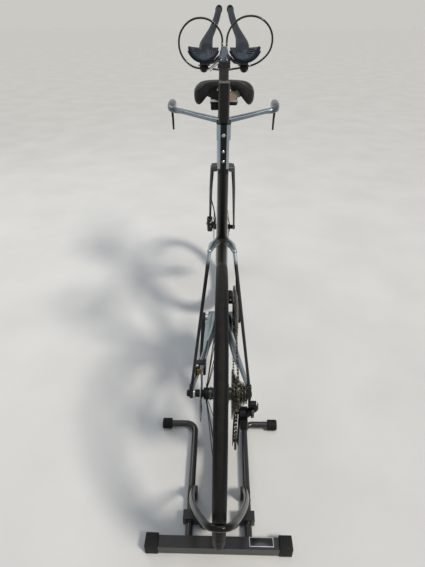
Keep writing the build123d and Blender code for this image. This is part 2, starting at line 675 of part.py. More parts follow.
GRIP_R = 11.0
HORN_X = 205.0
HORN_Z = BAR_Z + 25.0      # the wing's ends stand this high
KNOB = [
    # inboard of the horn's end, ahead of the bar, above the wing's ends, width, depth, corner
    (13, 26, 2, 23, 23, 9), (9, 50, 6, 30, 31, 13), (8, 100, 10, 32, 33, 14), (5, 133, 13, 24, 25, 11),
]
with BuildPart() as base_bar:
    wing = [
        # side, ahead, up, thickness, depth, corner
        (25, BAR_Y, BAR_Z, 20, BAR_DEPTH, 8), (150, BAR_Y + 18, HORN_Z, 16, 30, 6),
    ]
    bar([(bars(-x, y, z), t, d, c) for x, y, z, t, d, c in reversed(wing)]
        + [(bars(x, y, z), t, d, c) for x, y, z, t, d, c in wing], direction=(1, 0, 0), across=(0, 0, 1))
    for side in (-1, 1):
        route([bars(side * 142, BAR_Y + 16.8, HORN_Z - 1.4), bars(side * (HORN_X - 17), BAR_Y + 22, HORN_Z + 3),
               bars(side * (HORN_X - 9), BAR_Y + 60, HORN_Z + 7)], GRIP_R)
        bar([(bars(side * (HORN_X - x), BAR_Y + y, HORN_Z + z), w, d, c) for x, y, z, w, d, c in KNOB],
            direction=(0, 1, 0))
base_bar.part.label = "base_bar"
export_step(base_bar.part, "parts/base_bar.step")

LEVER_TOP = HORN_Z - 4.0   # just under the knobs
with BuildPart() as brake_levers:
    for side in (-1, 1):
        bar([(bars(side * (HORN_X - 2.5), BAR_Y + 124, LEVER_TOP), 9, 16, 3),
             (bars(side * (HORN_X - 6), BAR_Y + 115, LEVER_TOP - 37), 8, 12, 3),
             (bars(side * (HORN_X - 10), BAR_Y + 85, LEVER_TOP - 75), 7, 10, 3)])
brake_levers.part.label = "brake_levers"
export_step(brake_levers.part, "parts/brake_levers.step")

CUP_X = 70.0
CUP_R = 58.0
CUP_Z = 295.0              # the cups' axis above the head tube's top
CUP_BACK, CUP_FRONT = 42.0, 142.0
WING_THICK = 8.0
WING_Z = CUP_Z - CUP_R - FIT - WING_THICK / 2
RISER_TOP = WING_Z - 13.7
RISER_LEAN = 14.0
RISER_DEPTH = 26.0
with BuildPart() as riser:
    bar([(bars(0, BAR_Y, BAR_Z + 10 + FIT), 40, 34, 9), (bars(0, BAR_Y + RISER_LEAN, RISER_TOP), 34, RISER_DEPTH, 8)])
riser.part.label = "riser"
export_step(riser.part, "parts/riser.step")

TOWER_FRONT = 104.0
with BuildPart() as pad_bracket:
    block(bars(0, 82, RISER_TOP + FIT + 12), (44, 44, 24))
    bar([(bars(0, TOWER_FRONT - 15, RISER_TOP + 20), 42, 30, 6), (bars(0, TOWER_FRONT - 12, CUP_Z - 10), 20, 24, 6)])
    for side in (-1, 1):
        arm = [
            # side, height above the wing's middle, thickness, depth
            (14, 23.3, 12, 36), (34, 7.3, 12, 36), (60, 0.0, WING_THICK, 36), (84, 0.0, WING_THICK, 34),
        ]
        bar([(bars(side * x, 84, WING_Z + up), t, d, 3) for x, up, t, d in arm],
            direction=(side, 0, 0), across=(0, 0, 1))
pad_bracket.part.label = "pad_bracket"
export_step(pad_bracket.part, "parts/pad_bracket.step")


def on_cup(side, radius, angle, x=0.0, z=0.0):
    """A point in a cup's own plane, angle measured from straight down, outward positive."""
    return (side * (x + radius * sin(radians(angle))), z - radius * cos(radians(angle)))


CUP_TAPER = 16.0           # how much smaller the radius is at the front, with the floor level
CUP_THICK = 3.0


def trough(side, outer, inner, y0, y1):
    """A trough for a forearm that narrows forward: each side is (radius, low angle, high angle, x)."""
    faces = []
    for y in (y0, y1):
        less = CUP_TAPER * (y - CUP_BACK) / (CUP_FRONT - CUP_BACK)
        rim = [on_cup(side, outer[0] - less, a, outer[3], -less)
               for a in (outer[1], (outer[1] + outer[2]) / 2, outer[2])]
        bed = [on_cup(side, inner[0] - less, a, inner[3], -less)
               for a in (inner[2], (inner[1] + inner[2]) / 2, inner[1])]
        with BuildSketch(Plane(origin=bars(side * CUP_X, y, CUP_Z), x_dir=(1, 0, 0), z_dir=(0, -1, 0))) as s:
            with BuildLine():
                ThreePointArc(*rim)
                Line(rim[2], bed[0])
                ThreePointArc(*bed)
                Line(bed[2], rim[0])
            make_face()
        faces.append(s.sketch.face())
    loft(faces, ruled=True)


with BuildPart() as arm_cups:
    for side in (-1, 1):
        trough(side, (CUP_R, -68, 68, 0), (CUP_R - CUP_THICK, -68, 68, 0), CUP_BACK, CUP_FRONT)
arm_cups.part.label = "arm_cups"
export_step(arm_cups.part, "parts/arm_cups.step")

PAD_BED_R = 44.0           # the pad is thicker on its outer side
with BuildPart() as elbow_pads:
    for side in (-1, 1):
        trough(side, (CUP_R - CUP_THICK - FIT, -72, 82, 0), (PAD_BED_R, -78, 72, -4), CUP_BACK - 2, CUP_FRONT + 2)
elbow_pads.part.label = "elbow_pads"
export_step(elbow_pads.part, "parts/elbow_pads.step")

EXT_R = 12.0
EXT_Z = WING_Z - WING_THICK / 2 - FIT - EXT_R
EXT_ROOT = CUP_FRONT + 6.0
EXT_SCOOP = [
    # side, ahead, up, width, depth, corner
    (CUP_X - 2, EXT_ROOT, CUP_Z - 45, 52, 62, 14), (CUP_X - 5, EXT_ROOT + 54, CUP_Z - 10, 46, 34, 12),
    (CUP_X - 13, EXT_ROOT + 104, CUP_Z + 12, 31, 27, 11), (CUP_X - 24, EXT_ROOT + 150, CUP_Z + 32, 24, 24, 11),
]
TIP_A = (30.0, 384.0, 365.0)
TIP_B = (23.5, 446.0, 391.0)
with BuildPart() as extensions:
    for side in (-1, 1):
        rod(bars(side * CUP_X, 72, EXT_Z), bars(side * CUP_X, EXT_ROOT + 9, EXT_Z), EXT_R)
        ball(bars(side * CUP_X, 72, EXT_Z), EXT_R)
        bar([(bars(side * x, y, z), w, d, c) for x, y, z, w, d, c in EXT_SCOOP], direction=(0, 1, 0))
        x, y, z, w, d, c = EXT_SCOOP[-1]
        rod(bars(side * x, y - 1, z), bars(side * TIP_A[0], TIP_A[1], TIP_A[2]), EXT_R)
        ball(bars(side * TIP_A[0], TIP_A[1], TIP_A[2]), EXT_R)
        rod(bars(side * TIP_A[0], TIP_A[1], TIP_A[2]), bars(side * TIP_B[0], TIP_B[1], TIP_B[2]), EXT_R)
extensions.part.label = "extensions"
export_step(extensions.part, "parts/extensions.step")

TIP_GRIP_R = 13.0
with BuildPart() as grips:
    for side in (-1, 1):
        end = bars(side * TIP_B[0], TIP_B[1], TIP_B[2])
        along = (end - bars(side * TIP_A[0], TIP_A[1], TIP_A[2])).normalized()
        rod(end + along * FIT, end + along * 14, TIP_GRIP_R + 1, TIP_GRIP_R)
        ball(end + along * 14, TIP_GRIP_R)
grips.part.label = "grips"
export_step(grips.part, "parts/grips.step")

HOUSING_R = 2.6
HOUSING_END_Z = 206.0      # each housing ends at the riser's front face at this height
RISER_SHARE = (HOUSING_END_Z - BAR_Z - 10 - FIT) / (RISER_TOP - BAR_Z - 10 - FIT)
RISER_FRONT = BAR_Y + RISER_LEAN * RISER_SHARE + (34.0 + (RISER_DEPTH - 34.0) * RISER_SHARE) / 2
LOOPS = {
    "left_housing": [
        (-8, TOWER_FRONT + FIT, 267), (-8, 178, 267), (-6, 192, 320), (-53, 194, 366), (-119, 196, 366),
        (-166, 198, 320), (-166, 196, 254), (-119, 192, 208), (-60, 188, 207), (-10, 150, HOUSING_END_Z),
        (-10, RISER_FRONT + FIT, HOUSING_END_Z)],
    "right_housing": [
        (8, TOWER_FRONT + FIT, 267), (8, 178, 267), (11, 192, 328), (59, 194, 372), (127, 196, 372),
        (175, 198, 328), (175, 196, 266), (127, 192, 222), (62, 188, 209), (10, 150, HOUSING_END_Z),
        (10, RISER_FRONT + FIT, HOUSING_END_Z)],
}
with BuildPart() as left_housing:
    route([bars(*p) for p in LOOPS["left_housing"]], HOUSING_R)
left_housing.part.label = "left_housing"
export_step(left_housing.part, "parts/left_housing.step")

with BuildPart() as right_housing:
    route([bars(*p) for p in LOOPS["right_housing"]], HOUSING_R)
right_housing.part.label = "right_housing"
export_step(right_housing.part, "parts/right_housing.step")

# Stand
STAND_Z = 17.0
RAIL_SIDE = 78.0
TUBE_R = 10.0
FRONT_FOOT_Y, REAR_FOOT_Y = 155.0, -218.0
FOOT_HALF = 188.0
SLEEVE_Y, COLLAR_Y = -150.0, -88.0
SLEEVE_IN = 52.0           # the sleeves' inner faces
BOW_R = 6.0
HOOP_HALF = 66.0
COLLAR_HIGH = 36.0
with BuildPart() as stand_base:
    for side in (-1, 1):
        route([floor(side * (FOOT_HALF - 8), FRONT_FOOT_Y, STAND_Z),
               floor(side * (RAIL_SIDE + 2), FRONT_FOOT_Y, STAND_Z),
               floor(side * RAIL_SIDE, REAR_FOOT_Y, STAND_Z)], TUBE_R, share=0.3)
        block(floor(side * (SLEEVE_IN + 22), SLEEVE_Y, STAND_Z + 3), (44, 26, 28))
        block(floor(side * (RAIL_SIDE - 5), COLLAR_Y, STAND_Z + 12), (26, 22, COLLAR_HIGH))
    # lower bow between the sleeves
    route([floor(-SLEEVE_IN - 6, SLEEVE_Y, STAND_Z + 5), floor(-42, SLEEVE_Y - 27, STAND_Z + 3),
           floor(42, SLEEVE_Y - 27, STAND_Z + 3), floor(SLEEVE_IN + 6, SLEEVE_Y, STAND_Z + 5)], BOW_R, share=0.4)
    block(floor(0, REAR_FOOT_Y, STAND_Z), (2 * FOOT_HALF - 16, 30, 30))
stand_base.part.label = "stand_base"
export_step(stand_base.part, "parts/stand_base.step")

CAP_R = 17.0
with BuildPart() as stand_caps:
    for side in (-1, 1):
        x = side * (FOOT_HALF - 8 + FIT)
        rod(floor(x, FRONT_FOOT_Y, STAND_Z), floor(side * FOOT_HALF, FRONT_FOOT_Y, STAND_Z), CAP_R)
        with BuildSketch(Plane(origin=floor(x, FRONT_FOOT_Y, STAND_Z), z_dir=(side, 0, 0))) as cap:
            Circle(CAP_R)
            Circle(TUBE_R + FIT, mode=Mode.SUBTRACT)
        extrude(cap.sketch, amount=-22)
        block(floor(side * (FOOT_HALF - 4 + FIT / 2), REAR_FOOT_Y, STAND_Z), (8 - FIT, 34, 34))
stand_caps.part.label = "stand_caps"
export_step(stand_caps.part, "parts/stand_caps.step")

with BuildPart() as stand_hoop:
    seat_of_hoop = floor(0, COLLAR_Y, STAND_Z + 12 + COLLAR_HIGH / 2 + FIT + HOOP_R * 0.63)
    behind_tyre = floor(0, -(REAR_REACH - HOOP_R), WHEEL_R + 40)
    up = (behind_tyre - seat_of_hoop).normalized()
    length = (behind_tyre - seat_of_hoop).length
    bend = [
        # half width, share of the way up
        (HOOP_HALF + 5, 0.0), (HOOP_HALF + 1, 0.27), (50, 0.6), (31, 0.86), (21, 0.975), (7, 1.0),
    ]
    route([seat_of_hoop + Vector(-x, 0, 0) + up * length * share for x, share in bend]
          + [seat_of_hoop + Vector(x, 0, 0) + up * length * share for x, share in reversed(bend)], HOOP_R)
stand_hoop.part.label = "stand_hoop"
export_step(stand_hoop.part, "parts/stand_hoop.step")
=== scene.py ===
import json
from math import atan2, cos, pi, radians, sin, sqrt

import bmesh
import bpy
from mathutils import Matrix, Vector


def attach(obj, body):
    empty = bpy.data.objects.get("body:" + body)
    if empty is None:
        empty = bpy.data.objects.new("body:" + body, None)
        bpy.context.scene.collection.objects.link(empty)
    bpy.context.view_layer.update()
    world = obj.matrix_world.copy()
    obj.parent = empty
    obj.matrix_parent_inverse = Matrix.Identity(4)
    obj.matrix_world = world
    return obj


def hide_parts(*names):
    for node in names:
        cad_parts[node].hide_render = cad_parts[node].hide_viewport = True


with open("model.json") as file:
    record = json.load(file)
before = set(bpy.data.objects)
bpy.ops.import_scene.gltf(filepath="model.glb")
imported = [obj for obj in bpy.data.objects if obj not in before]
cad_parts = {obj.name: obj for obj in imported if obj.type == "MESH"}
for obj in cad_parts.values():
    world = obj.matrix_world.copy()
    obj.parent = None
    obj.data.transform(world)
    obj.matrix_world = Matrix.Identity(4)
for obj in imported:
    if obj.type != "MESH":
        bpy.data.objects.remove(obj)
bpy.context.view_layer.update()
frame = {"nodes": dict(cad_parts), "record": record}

# Places shared with the solids, in metres
MM = 0.001
REAR_Y, FRONT_Y = -0.488, 0.507    # the axles along Y
AXLE_Z = 0.339                     # both axles above the floor
SEAT_LINE = REAR_Y + 0.4638        # the seat tube's axis along Y, at the floor
SEAT_LEAN = 0.21777                # how far it leans back for its height
# The same, in millimetres from the floor under the rear axle
BB_Y, BB_Z = 405.0, 270.0          # the cranks' axis
HEAD_Y, HEAD_Z = 808.34, 781.35    # the top of the head tube
scene = bpy.context.scene
nodes = frame["nodes"]


def at(x, y, z):
    """A point given in millimetres from the floor under the rear axle."""
    return Vector((x * MM, REAR_Y + y * MM, z * MM))


def bars(x, y, z):
    """A point given in millimetres from the top of the head tube."""
    return at(x, HEAD_Y + y, HEAD_Z + z)


# Camera: behind the bicycle, above the saddle's height, looking down along it
YAW, DIP, ROLL = radians(-1.31), radians(33.354), radians(0.023)
EYE = at(-3.5, -726.7, 1157.8)
FOCAL_PIXELS, FRAME_HIGH, SENSOR = 408.9, 567, 36.0
look = Vector((sin(YAW) * cos(DIP), cos(YAW) * cos(DIP), -sin(DIP)))
right = Vector((cos(YAW), -sin(YAW), 0.0))
aim = Matrix((right, right.cross(look), -look)).transposed().to_4x4()
camera = bpy.data.objects.new("camera", bpy.data.cameras.new("camera"))
camera.data.sensor_width = SENSOR
camera.data.lens = FOCAL_PIXELS / FRAME_HIGH * SENSOR
camera.data.clip_start, camera.data.clip_end = 0.05, 90.0
camera.matrix_world = Matrix.Translation(EYE) @ aim @ Matrix.Rotation(-ROLL, 4, "Z")
scene.collection.objects.link(camera)
scene.camera = camera
scene.view_settings.view_transform = "Standard"


# Finishes
LOW, HIGH, MIXED = 6, 7, 2         # a Mix node's sockets for colours: the two that go in, and what comes out


def linear(code):
    """sRGB hex to linear colour."""
    parts = [int(code[i:i + 2], 16) / 255 for i in (1, 3, 5)]
    return [c / 12.92 if c <= 0.04045 else ((c + 0.055) / 1.055) ** 2.4 for c in parts] + [1.0]


def add(tree, kind, inputs=None, output=0, to=None, **settings):
    """Adds a node with its settings, sets or links its inputs, and returns one output, linked on if asked."""
    node = tree.nodes.new(kind)
    for key, value in settings.items():
        setattr(node, key, value)
    for key, value in (inputs or {}).items():
        if isinstance(value, bpy.types.NodeSocket):
            tree.links.new(value, node.inputs[key])
        else:
            node.inputs[key].default_value = value
    if to:
        tree.links.new(node.outputs[output], to)
    return node.outputs[output]


def cells(size):
    """A pattern's scale, from the size of one of its cells in millimetres."""
    return 1 / (size * MM)


def finish(name, **sockets):
    """A new material: returns it, its tree, its shader's sockets and the object's own coordinates."""
    material = bpy.data.materials.new(name)
    material.use_nodes = True
    tree = material.node_tree
    shader = tree.nodes["Principled BSDF"].inputs
    for key, value in sockets.items():
        shader[key.replace("_", " ")].default_value = value
    return material, tree, shader, add(tree, "ShaderNodeTexCoord", output="Object")


def speckled(tree, shader, coords, low, high, width):
    """Runs the base colour between two shades in patches of a width: returns the colour and its noise."""
    noise = add(tree, "ShaderNodeTexNoise", {"Vector": coords, "Scale": cells(width), "Detail": 4.0}, "Fac")
    colour = add(tree, "ShaderNodeValToRGB", {"Fac": noise}, "Color", shader["Base Color"])
    first, last = colour.node.color_ramp.elements
    first.position, last.position = 0.35, 0.65
    first.color, last.color = linear(low), linear(high)
    return colour, noise


def two_shades(name, low, high, width, rough, **sockets):
    """A new material whose colour wanders between two shades, with a roughness that goes with it."""
    material, tree, shader, coords = finish(name, **sockets)
    colour, noise = speckled(tree, shader, coords, low, high, width)
    add(tree, "ShaderNodeMapRange", {"Value": noise, "To Min": rough[0], "To Max": rough[1]},
        to=shader["Roughness"])
    return material, tree, shader, coords, colour


def gritty(name, low, high, width, rough, metallic, grain, depth=0.08, **sockets):
    """Two shades with a surface grit, whose real grain is finer and is drawn coarse enough to show."""
    material, tree, shader, coords, _ = two_shades(name, low, high, width, rough, Metallic=metallic,
                                                   **sockets)
    fine = add(tree, "ShaderNodeTexNoise", {"Vector": coords, "Scale": cells(grain), "Detail": 3.0}, "Fac")
    add(tree, "ShaderNodeBump", {"Height": fine, "Distance": depth * MM, "Strength": 1.0},
        to=shader["Normal"])
    return material


def pebbled(name, low, high, width, rough, pebble, depth, **sockets):
    """Two shades with a relief of rounded pebbles."""
    material, tree, shader, coords, _ = two_shades(name, low, high, width, rough, **sockets)
    relief = add(tree, "ShaderNodeTexVoronoi", {"Vector": coords, "Scale": cells(pebble)}, "Distance")
    add(tree, "ShaderNodeBump", {"Height": relief, "Distance": depth * MM, "Strength": 1.0},
        to=shader["Normal"])
    return material


def masks(tree, coords, rows):
    """Works out rows of (name, what is done, first, second, half of the blend) from x, y and z in metres."""
    known = dict(zip("xyz", add(tree, "ShaderNodeSeparateXYZ", {"Vector": coords}).node.outputs))
    for name, act, a, b, *blend in rows:
        a, b = known.get(a, a), known.get(b, b)
        if act in ("above", "below"):
            soft = blend[0] if blend else 0.0004
            known[name] = add(tree, "ShaderNodeMapRange", {
                "Value": a, "From Min": b - soft, "From Max": b + soft,
                "To Min": float(act == "below"), "To Max": float(act == "above")})
        else:
            known[name] = add(tree, "ShaderNodeMath", {0: a, 1: b}, operation=act)
    return known


def patched(name, low, high, width, rough, patch, rows, **sockets):
    """Two shades, with one more colour where the last of the masks is 1."""
    material, tree, shader, coords, colour = two_shades(name, low, high, width, rough, **sockets)
    where = masks(tree, coords, rows)[rows[-1][0]]
    add(tree, "ShaderNodeMix", {"Factor": where, LOW: colour, HIGH: linear(patch)}, MIXED,
        shader["Base Color"], data_type="RGBA")
    return material


def to_the_eye(tree):
    """1 for camera, glossy and transmission rays, 0 for light that goes on to the object."""
    path = add(tree, "ShaderNodeLightPath").node.outputs
    direct = add(tree, "ShaderNodeMath", {0: path["Is Camera Ray"], 1: path["Is Glossy Ray"]},
                 operation="MAXIMUM")
    return add(tree, "ShaderNodeMath", {0: direct, 1: path["Is Transmission Ray"]}, operation="MAXIMUM")


# All sizes of patterns here are in millimetres: of the patches of shade, then of the grain and its depth
# satin silver lacquer: a metallic flake, drawn 0.4 mm wide to show, under a soft clear coat
silver = gritty("satin_silver_lacquer", "#6d7b86", "#8896a1", 167, (0.2, 0.3), 0.92, 0.4, 0.02,
                Coat_Weight=0.6, Coat_Roughness=0.08)
# black gloss lacquer: deep black with a clear reflection
black_gloss = gritty("black_gloss_lacquer", "#0c0d10", "#15171b", 125, (0.2, 0.3), 0.0, 1.11, 0.02,
                     Coat_Weight=1.0, Coat_Roughness=0.06)
# grey lacquer over carbon: a soft grey with a clear coat
grey_carbon = gritty("grey_lacquered_carbon", "#5b6066", "#72787e", 111, (0.3, 0.42), 0.3, 0.833, 0.03,
                     Coat_Weight=0.6, Coat_Roughness=0.12)
# satin anodised aluminium: pale blue-silver
pale_alloy = gritty("pale_anodised_aluminium", "#9fb0bd", "#b9c7d1", 83.3, (0.25, 0.36), 0.9, 0.333, 0.02)
# black anodised aluminium: a fine blasted surface with a grey sheen
black_alloy = gritty("black_anodised_aluminium", "#0d0e10", "#17181b", 50, (0.32, 0.45), 0.4, 0.333, 0.02,
                     Specular_IOR_Level=0.35)
# anodised caliper body: near black with a brown cast
caliper_alloy = gritty("dark_anodised_aluminium", "#191816", "#2b2823", 25, (0.3, 0.42), 0.5, 0.333, 0.02)
# machined brass block: warm and dull yellow
brass = gritty("machined_brass", "#8a6a3c", "#b08a52", 16.7, (0.25, 0.4), 1.0, 0.4, 0.02)
# stainless fasteners: bright and turned
bright_steel = gritty("bright_stainless_steel", "#b9bcbe", "#d6d9da", 25, (0.16, 0.28), 1.0, 0.333, 0.01)
# oiled chain steel: grey-brown with dark grime
chain_steel = gritty("oiled_chain_steel", "#1d1a17", "#575149", 6.25, (0.28, 0.5), 0.9, 0.833, 0.04)
# sprockets: nickelled steel, worn at the teeth
cog_steel = gritty("nickelled_sprocket_steel", "#4a463f", "#7d766b", 8.33, (0.25, 0.45), 1.0, 0.5, 0.02)
# moulded rubber for caps and grips: dull and dark
rubber = gritty("moulded_rubber", "#0e0e10", "#18181a", 33.3, (0.6, 0.75), 0.0, 0.667, Specular_IOR_Level=0.3)
# cable housing: smooth black plastic with a soft shine
housing_plastic = gritty("cable_housing_plastic", "#0f1012", "#1a1b1e", 40, (0.25, 0.35), 0.0, 1.11, 0.02)
# hose jacket: black nylon with a tight shine
hose_jacket = gritty("black_nylon_hose", "#0a0b0c", "#131416", 40, (0.14, 0.2), 0.0, 1.11, 0.02)
# powder coat: satin black with a fine orange peel
powder_coat = gritty("satin_black_powder_coat", "#07080a", "#0e1013", 100, (0.26, 0.36), 0.0, 0.909, 0.12,
                     Coat_Weight=0.3, Coat_Roughness=0.12)
# wet-look black enamel of the hoop: thin bright reflections
wet_black = gritty("wet_black_enamel", "#050607", "#0b0c0e", 100, (0.16, 0.22), 0.0, 1.11, 0.02,
                   Specular_IOR_Level=0.22)
# satin moulded carbon of the chainring's disc: brown-grey with a dull shine
disc_carbon = gritty("satin_disc_carbon", "#2d2926", "#463f3a", 28.6, (0.34, 0.48), 0.0, 0.667, 0.03)
# dull black carbon of the extensions and cranks: little shine, with a blue cast painted in as sky reflection
dull_carbon = gritty("dull_black_carbon_painted_sky_blue", "#10161f", "#1d2733", 38.5, (0.4, 0.52), 0.0, 0.833, 0.03,
                     Specular_IOR_Level=0.25)
# olive-grey moulded base under the saddle: matte
saddle_base = gritty("olive_moulded_base", "#3b372b", "#5d5745", 55.6, (0.45, 0.6), 0.0, 0.833, 0.06)
# moulded nylon wedge under the saddle: matte, its sand colour a painted sunlit copy of the olive base
sunlit_base_nylon = gritty("moulded_nylon_painted_sunlit", "#8b8068", "#a2967b", 33.3, (0.5, 0.62), 0.0, 0.833, 0.05)
# smooth piping: glossy black cord
piping = gritty("glossy_black_piping", "#16171a", "#232529", 25, (0.22, 0.34), 0.0, 1.11, 0.02)
# blank plate: gloss black field, pale grey border
plate_black = gritty("gloss_black_plate", "#121317", "#1a1c21", 40, (0.18, 0.26), 0.0, 1.11, 0.01)
plate_edge = gritty("pale_plate_border", "#a9adb0", "#c4c7c9", 40, (0.3, 0.4), 0.3, 1.11, 0.01)
# microfibre saddle cover: matte, with a fine pebble
cover = pebbled("microfibre_saddle_cover", "#0c0c0e", "#161619", 16.7, (0.5, 0.68), 1.11, 0.18,
                Sheen_Weight=0.06, Sheen_Roughness=0.5, Specular_IOR_Level=0.25)
# elbow pad fabric: dark blue knit over foam, 1 mm loops drawn at 1.5 mm to show
pad_fabric = pebbled("dark_blue_pad_knit", "#1c232d", "#2f3845", 11.1, (0.75, 0.9), 1.54, 0.3,
                     Sheen_Weight=0.15, Sheen_Roughness=0.4, Specular_IOR_Level=0.25)
# ground steel brake track: bright, with a slight wander in its shine
rotor_steel = two_shades("ground_brake_steel", "#6d6e70", "#a4a6a8", 33.3, (0.22, 0.34), Metallic=1.0)[0]
# seatpost: matte black carbon with a painted paler sheen on its side corners
post_carbon = patched("dark_seatpost_carbon", "#090a0b", "#121315", 33.3, (0.3, 0.42), "#3a3733", [
    ("wide", "ABSOLUTE", "x", 0.0), ("corner", "above", "wide", 0.0088, 0.0012)], Specular_IOR_Level=0.3)
# riser: black lacquered carbon with a blue-grey tower on top
riser_carbon = patched("two_tone_riser_carbon", "#0a0b0d", "#131518", 41.7, (0.28, 0.4), "#66747f", [
    ("wide", "ABSOLUTE", "x", 0.0), ("slim", "below", "wide", 0.0185, 0.001),
    ("high", "above", "z", 1.022, 0.003), ("tower", "MULTIPLY", "high", "slim")],
    Coat_Weight=0.5, Coat_Roughness=0.12)
# base bar: silver lacquer, with slate-blue lacquer on the horns
horn_lacquer = patched("silver_lacquer_with_slate_horns", "#717f89", "#8e9ca6", 167, (0.2, 0.3), "#4a5763", [
    ("wide", "ABSOLUTE", "x", 0.0), ("horn", "above", "wide", 0.176, 0.006)],
    Metallic=0.85, Coat_Weight=0.5, Coat_Roughness=0.08)

# clear-coated carbon: 2.5 mm squares of twill seen under gloss
carbon, t, shader, coords = finish("clear_coated_carbon", Roughness=0.35, Coat_Weight=1.0,
                                   Coat_Roughness=0.05)
slanted = add(t, "ShaderNodeMapping", {"Vector": coords, "Rotation": (0.6, 0.785, 0.3)})
weave = add(t, "ShaderNodeTexChecker", {"Vector": slanted, "Scale": cells(2.5), "Color1": linear("#08090c"),
                                        "Color2": linear("#12151b")})
drift = add(t, "ShaderNodeTexNoise", {"Vector": coords, "Scale": cells(71.4), "Detail": 2.0}, "Fac")
add(t, "ShaderNodeMix", {"Factor": drift, LOW: weave, HIGH: linear("#0d1219")}, MIXED, shader["Base Color"],
    data_type="RGBA")

# tyre rubber: dull black sides, with dust in the tread
tyre_rubber, t, shader, coords = finish("road_tyre_rubber", Specular_IOR_Level=0.12)
tread = masks(t, coords, [
    ("wide", "ABSOLUTE", "x", 0.0), ("tread", "below", "wide", 0.00725, 0.00325)])["tread"]
patches = add(t, "ShaderNodeTexNoise", {"Vector": coords, "Scale": cells(18.2), "Detail": 6.0,
                                        "Roughness": 0.65}, "Fac")
dusty = add(t, "ShaderNodeMath", {0: tread, 1: patches}, operation="MULTIPLY")
dust = add(t, "ShaderNodeMapRange", {"Value": dusty, "From Min": 0.25, "From Max": 0.7})
add(t, "ShaderNodeMix", {"Factor": dust, LOW: linear("#0c0e12"), HIGH: linear("#2b2823")}, MIXED,
    shader["Base Color"], data_type="RGBA")
add(t, "ShaderNodeMapRange", {"Value": dust, "To Min": 0.5, "To Max": 0.9}, to=shader["Roughness"])
cuts = add(t, "ShaderNodeTexVoronoi", {"Vector": coords, "Scale": cells(1.54)}, "Distance")
add(t, "ShaderNodeBump", {"Height": cuts, "Distance": 0.15 * MM, "Strength": 1.0}, to=shader["Normal"])

# studio floor: matte pale paint, whose bounced light reaches the object as from a mid grey
floor_paint, t, shader, coords = finish("matte_studio_floor", Roughness=0.95, Specular_IOR_Level=0.1)
pale, _ = speckled(t, shader, coords, "#cdcdcb", "#d3d3d1", 333)
add(t, "ShaderNodeMix", {"Factor": to_the_eye(t), LOW: linear("#8b8b88"), HIGH: pale}, MIXED,
    shader["Base Color"], data_type="RGBA")

# frame lacquer: silver flake under a clear coat, painted shade on the seat tube, painted shade and dark
# reflection on the stays and dropouts, and a plain black strip
FRAME_MASKS = [
    # name, what is done, first, second, half of the blend
    ("wide", "ABSOLUTE", "x", 0.0),
    ("rise", "MULTIPLY", "z", SEAT_LEAN),
    ("lean", "ADD", "y", "rise"),
    # the strip down the middle of the rear face
    ("narrow", "below", "wide", 0.0072),
    ("rear_face", "below", "lean", SEAT_LINE - 0.020),
    ("upper", "above", "z", 0.634),
    ("face", "MULTIPLY", "narrow", "rear_face"),
    ("strip", "MULTIPLY", "face", "upper"),
    # the gasket where the mast enters the seat tube
    ("from_joint", "above", "z", 0.831),
    ("to_mast", "below", "z", 0.8445),
    ("joint", "MULTIPLY", "from_joint", "to_mast"),
    ("tube_front", "below", "lean", SEAT_LINE + 0.034),
    ("gasket", "MULTIPLY", "joint", "tube_front"),
    ("black", "MAXIMUM", "strip", "gasket"),
    # painted shade and dark reflection on the seat stays, fading to silver at their shoulder, and on the
    # dropouts
    ("ahead", "SUBTRACT", "y", REAR_Y),
    ("up", "SUBTRACT", "z", AXLE_Z),
    ("slope", "MULTIPLY", "ahead", 0.28),
    ("over", "SUBTRACT", "up", "slope"),
    ("over_slope", "above", "over", 0.004, 0.008),
    ("off_tube", "below", "lean", SEAT_LINE - 0.036, 0.004),
    ("below_bend", "below", "z", 0.616, 0.006),
    ("behind", "MULTIPLY", "over_slope", "off_tube"),
    ("stays", "MULTIPLY", "behind", "below_bend"),
    ("dropouts", "below", "ahead", 0.030, 0.008),
    ("dark_stays", "MAXIMUM", "stays", "dropouts"),
    # painted shade on the seat tube below the gasket
    ("on_tube", "above", "lean", SEAT_LINE - 0.036, 0.004),
    ("tube", "MULTIPLY", "on_tube", "tube_front"),
    ("slim", "below", "wide", 0.0168, 0.0006),
    ("over_bend", "above", "z", 0.652, 0.012),
    ("span", "MAXIMUM", "over_bend", "slim"),
    ("below_joint", "below", "z", 0.838),
    ("tube_span", "MULTIPLY", "span", "below_joint"),
    ("dark_tube", "MULTIPLY", "tube", "tube_span"),
    ("dark", "MAXIMUM", "dark_stays", "dark_tube"),
    # less flake and no clear coat over the black and the painted shade
    ("duller", "MULTIPLY", "dark", 0.7),
    ("dull", "MAXIMUM", "black", "duller"),
    ("flake", "SUBTRACT", 1.0, "dull"),
    ("metallic", "MULTIPLY", "flake", 0.92),
    ("bare", "MAXIMUM", "black", "dark"),
    ("coated", "SUBTRACT", 1.0, "bare"),
    ("coat", "MULTIPLY", "coated", 0.6),
]
striped, t, shader, coords, colour = two_shades("silver_lacquer_with_black_strip", "#85939e", "#a1afb9", 167,
                                                (0.24, 0.34), Coat_Roughness=0.08, Specular_IOR_Level=0.3)
mask = masks(t, coords, FRAME_MASKS)
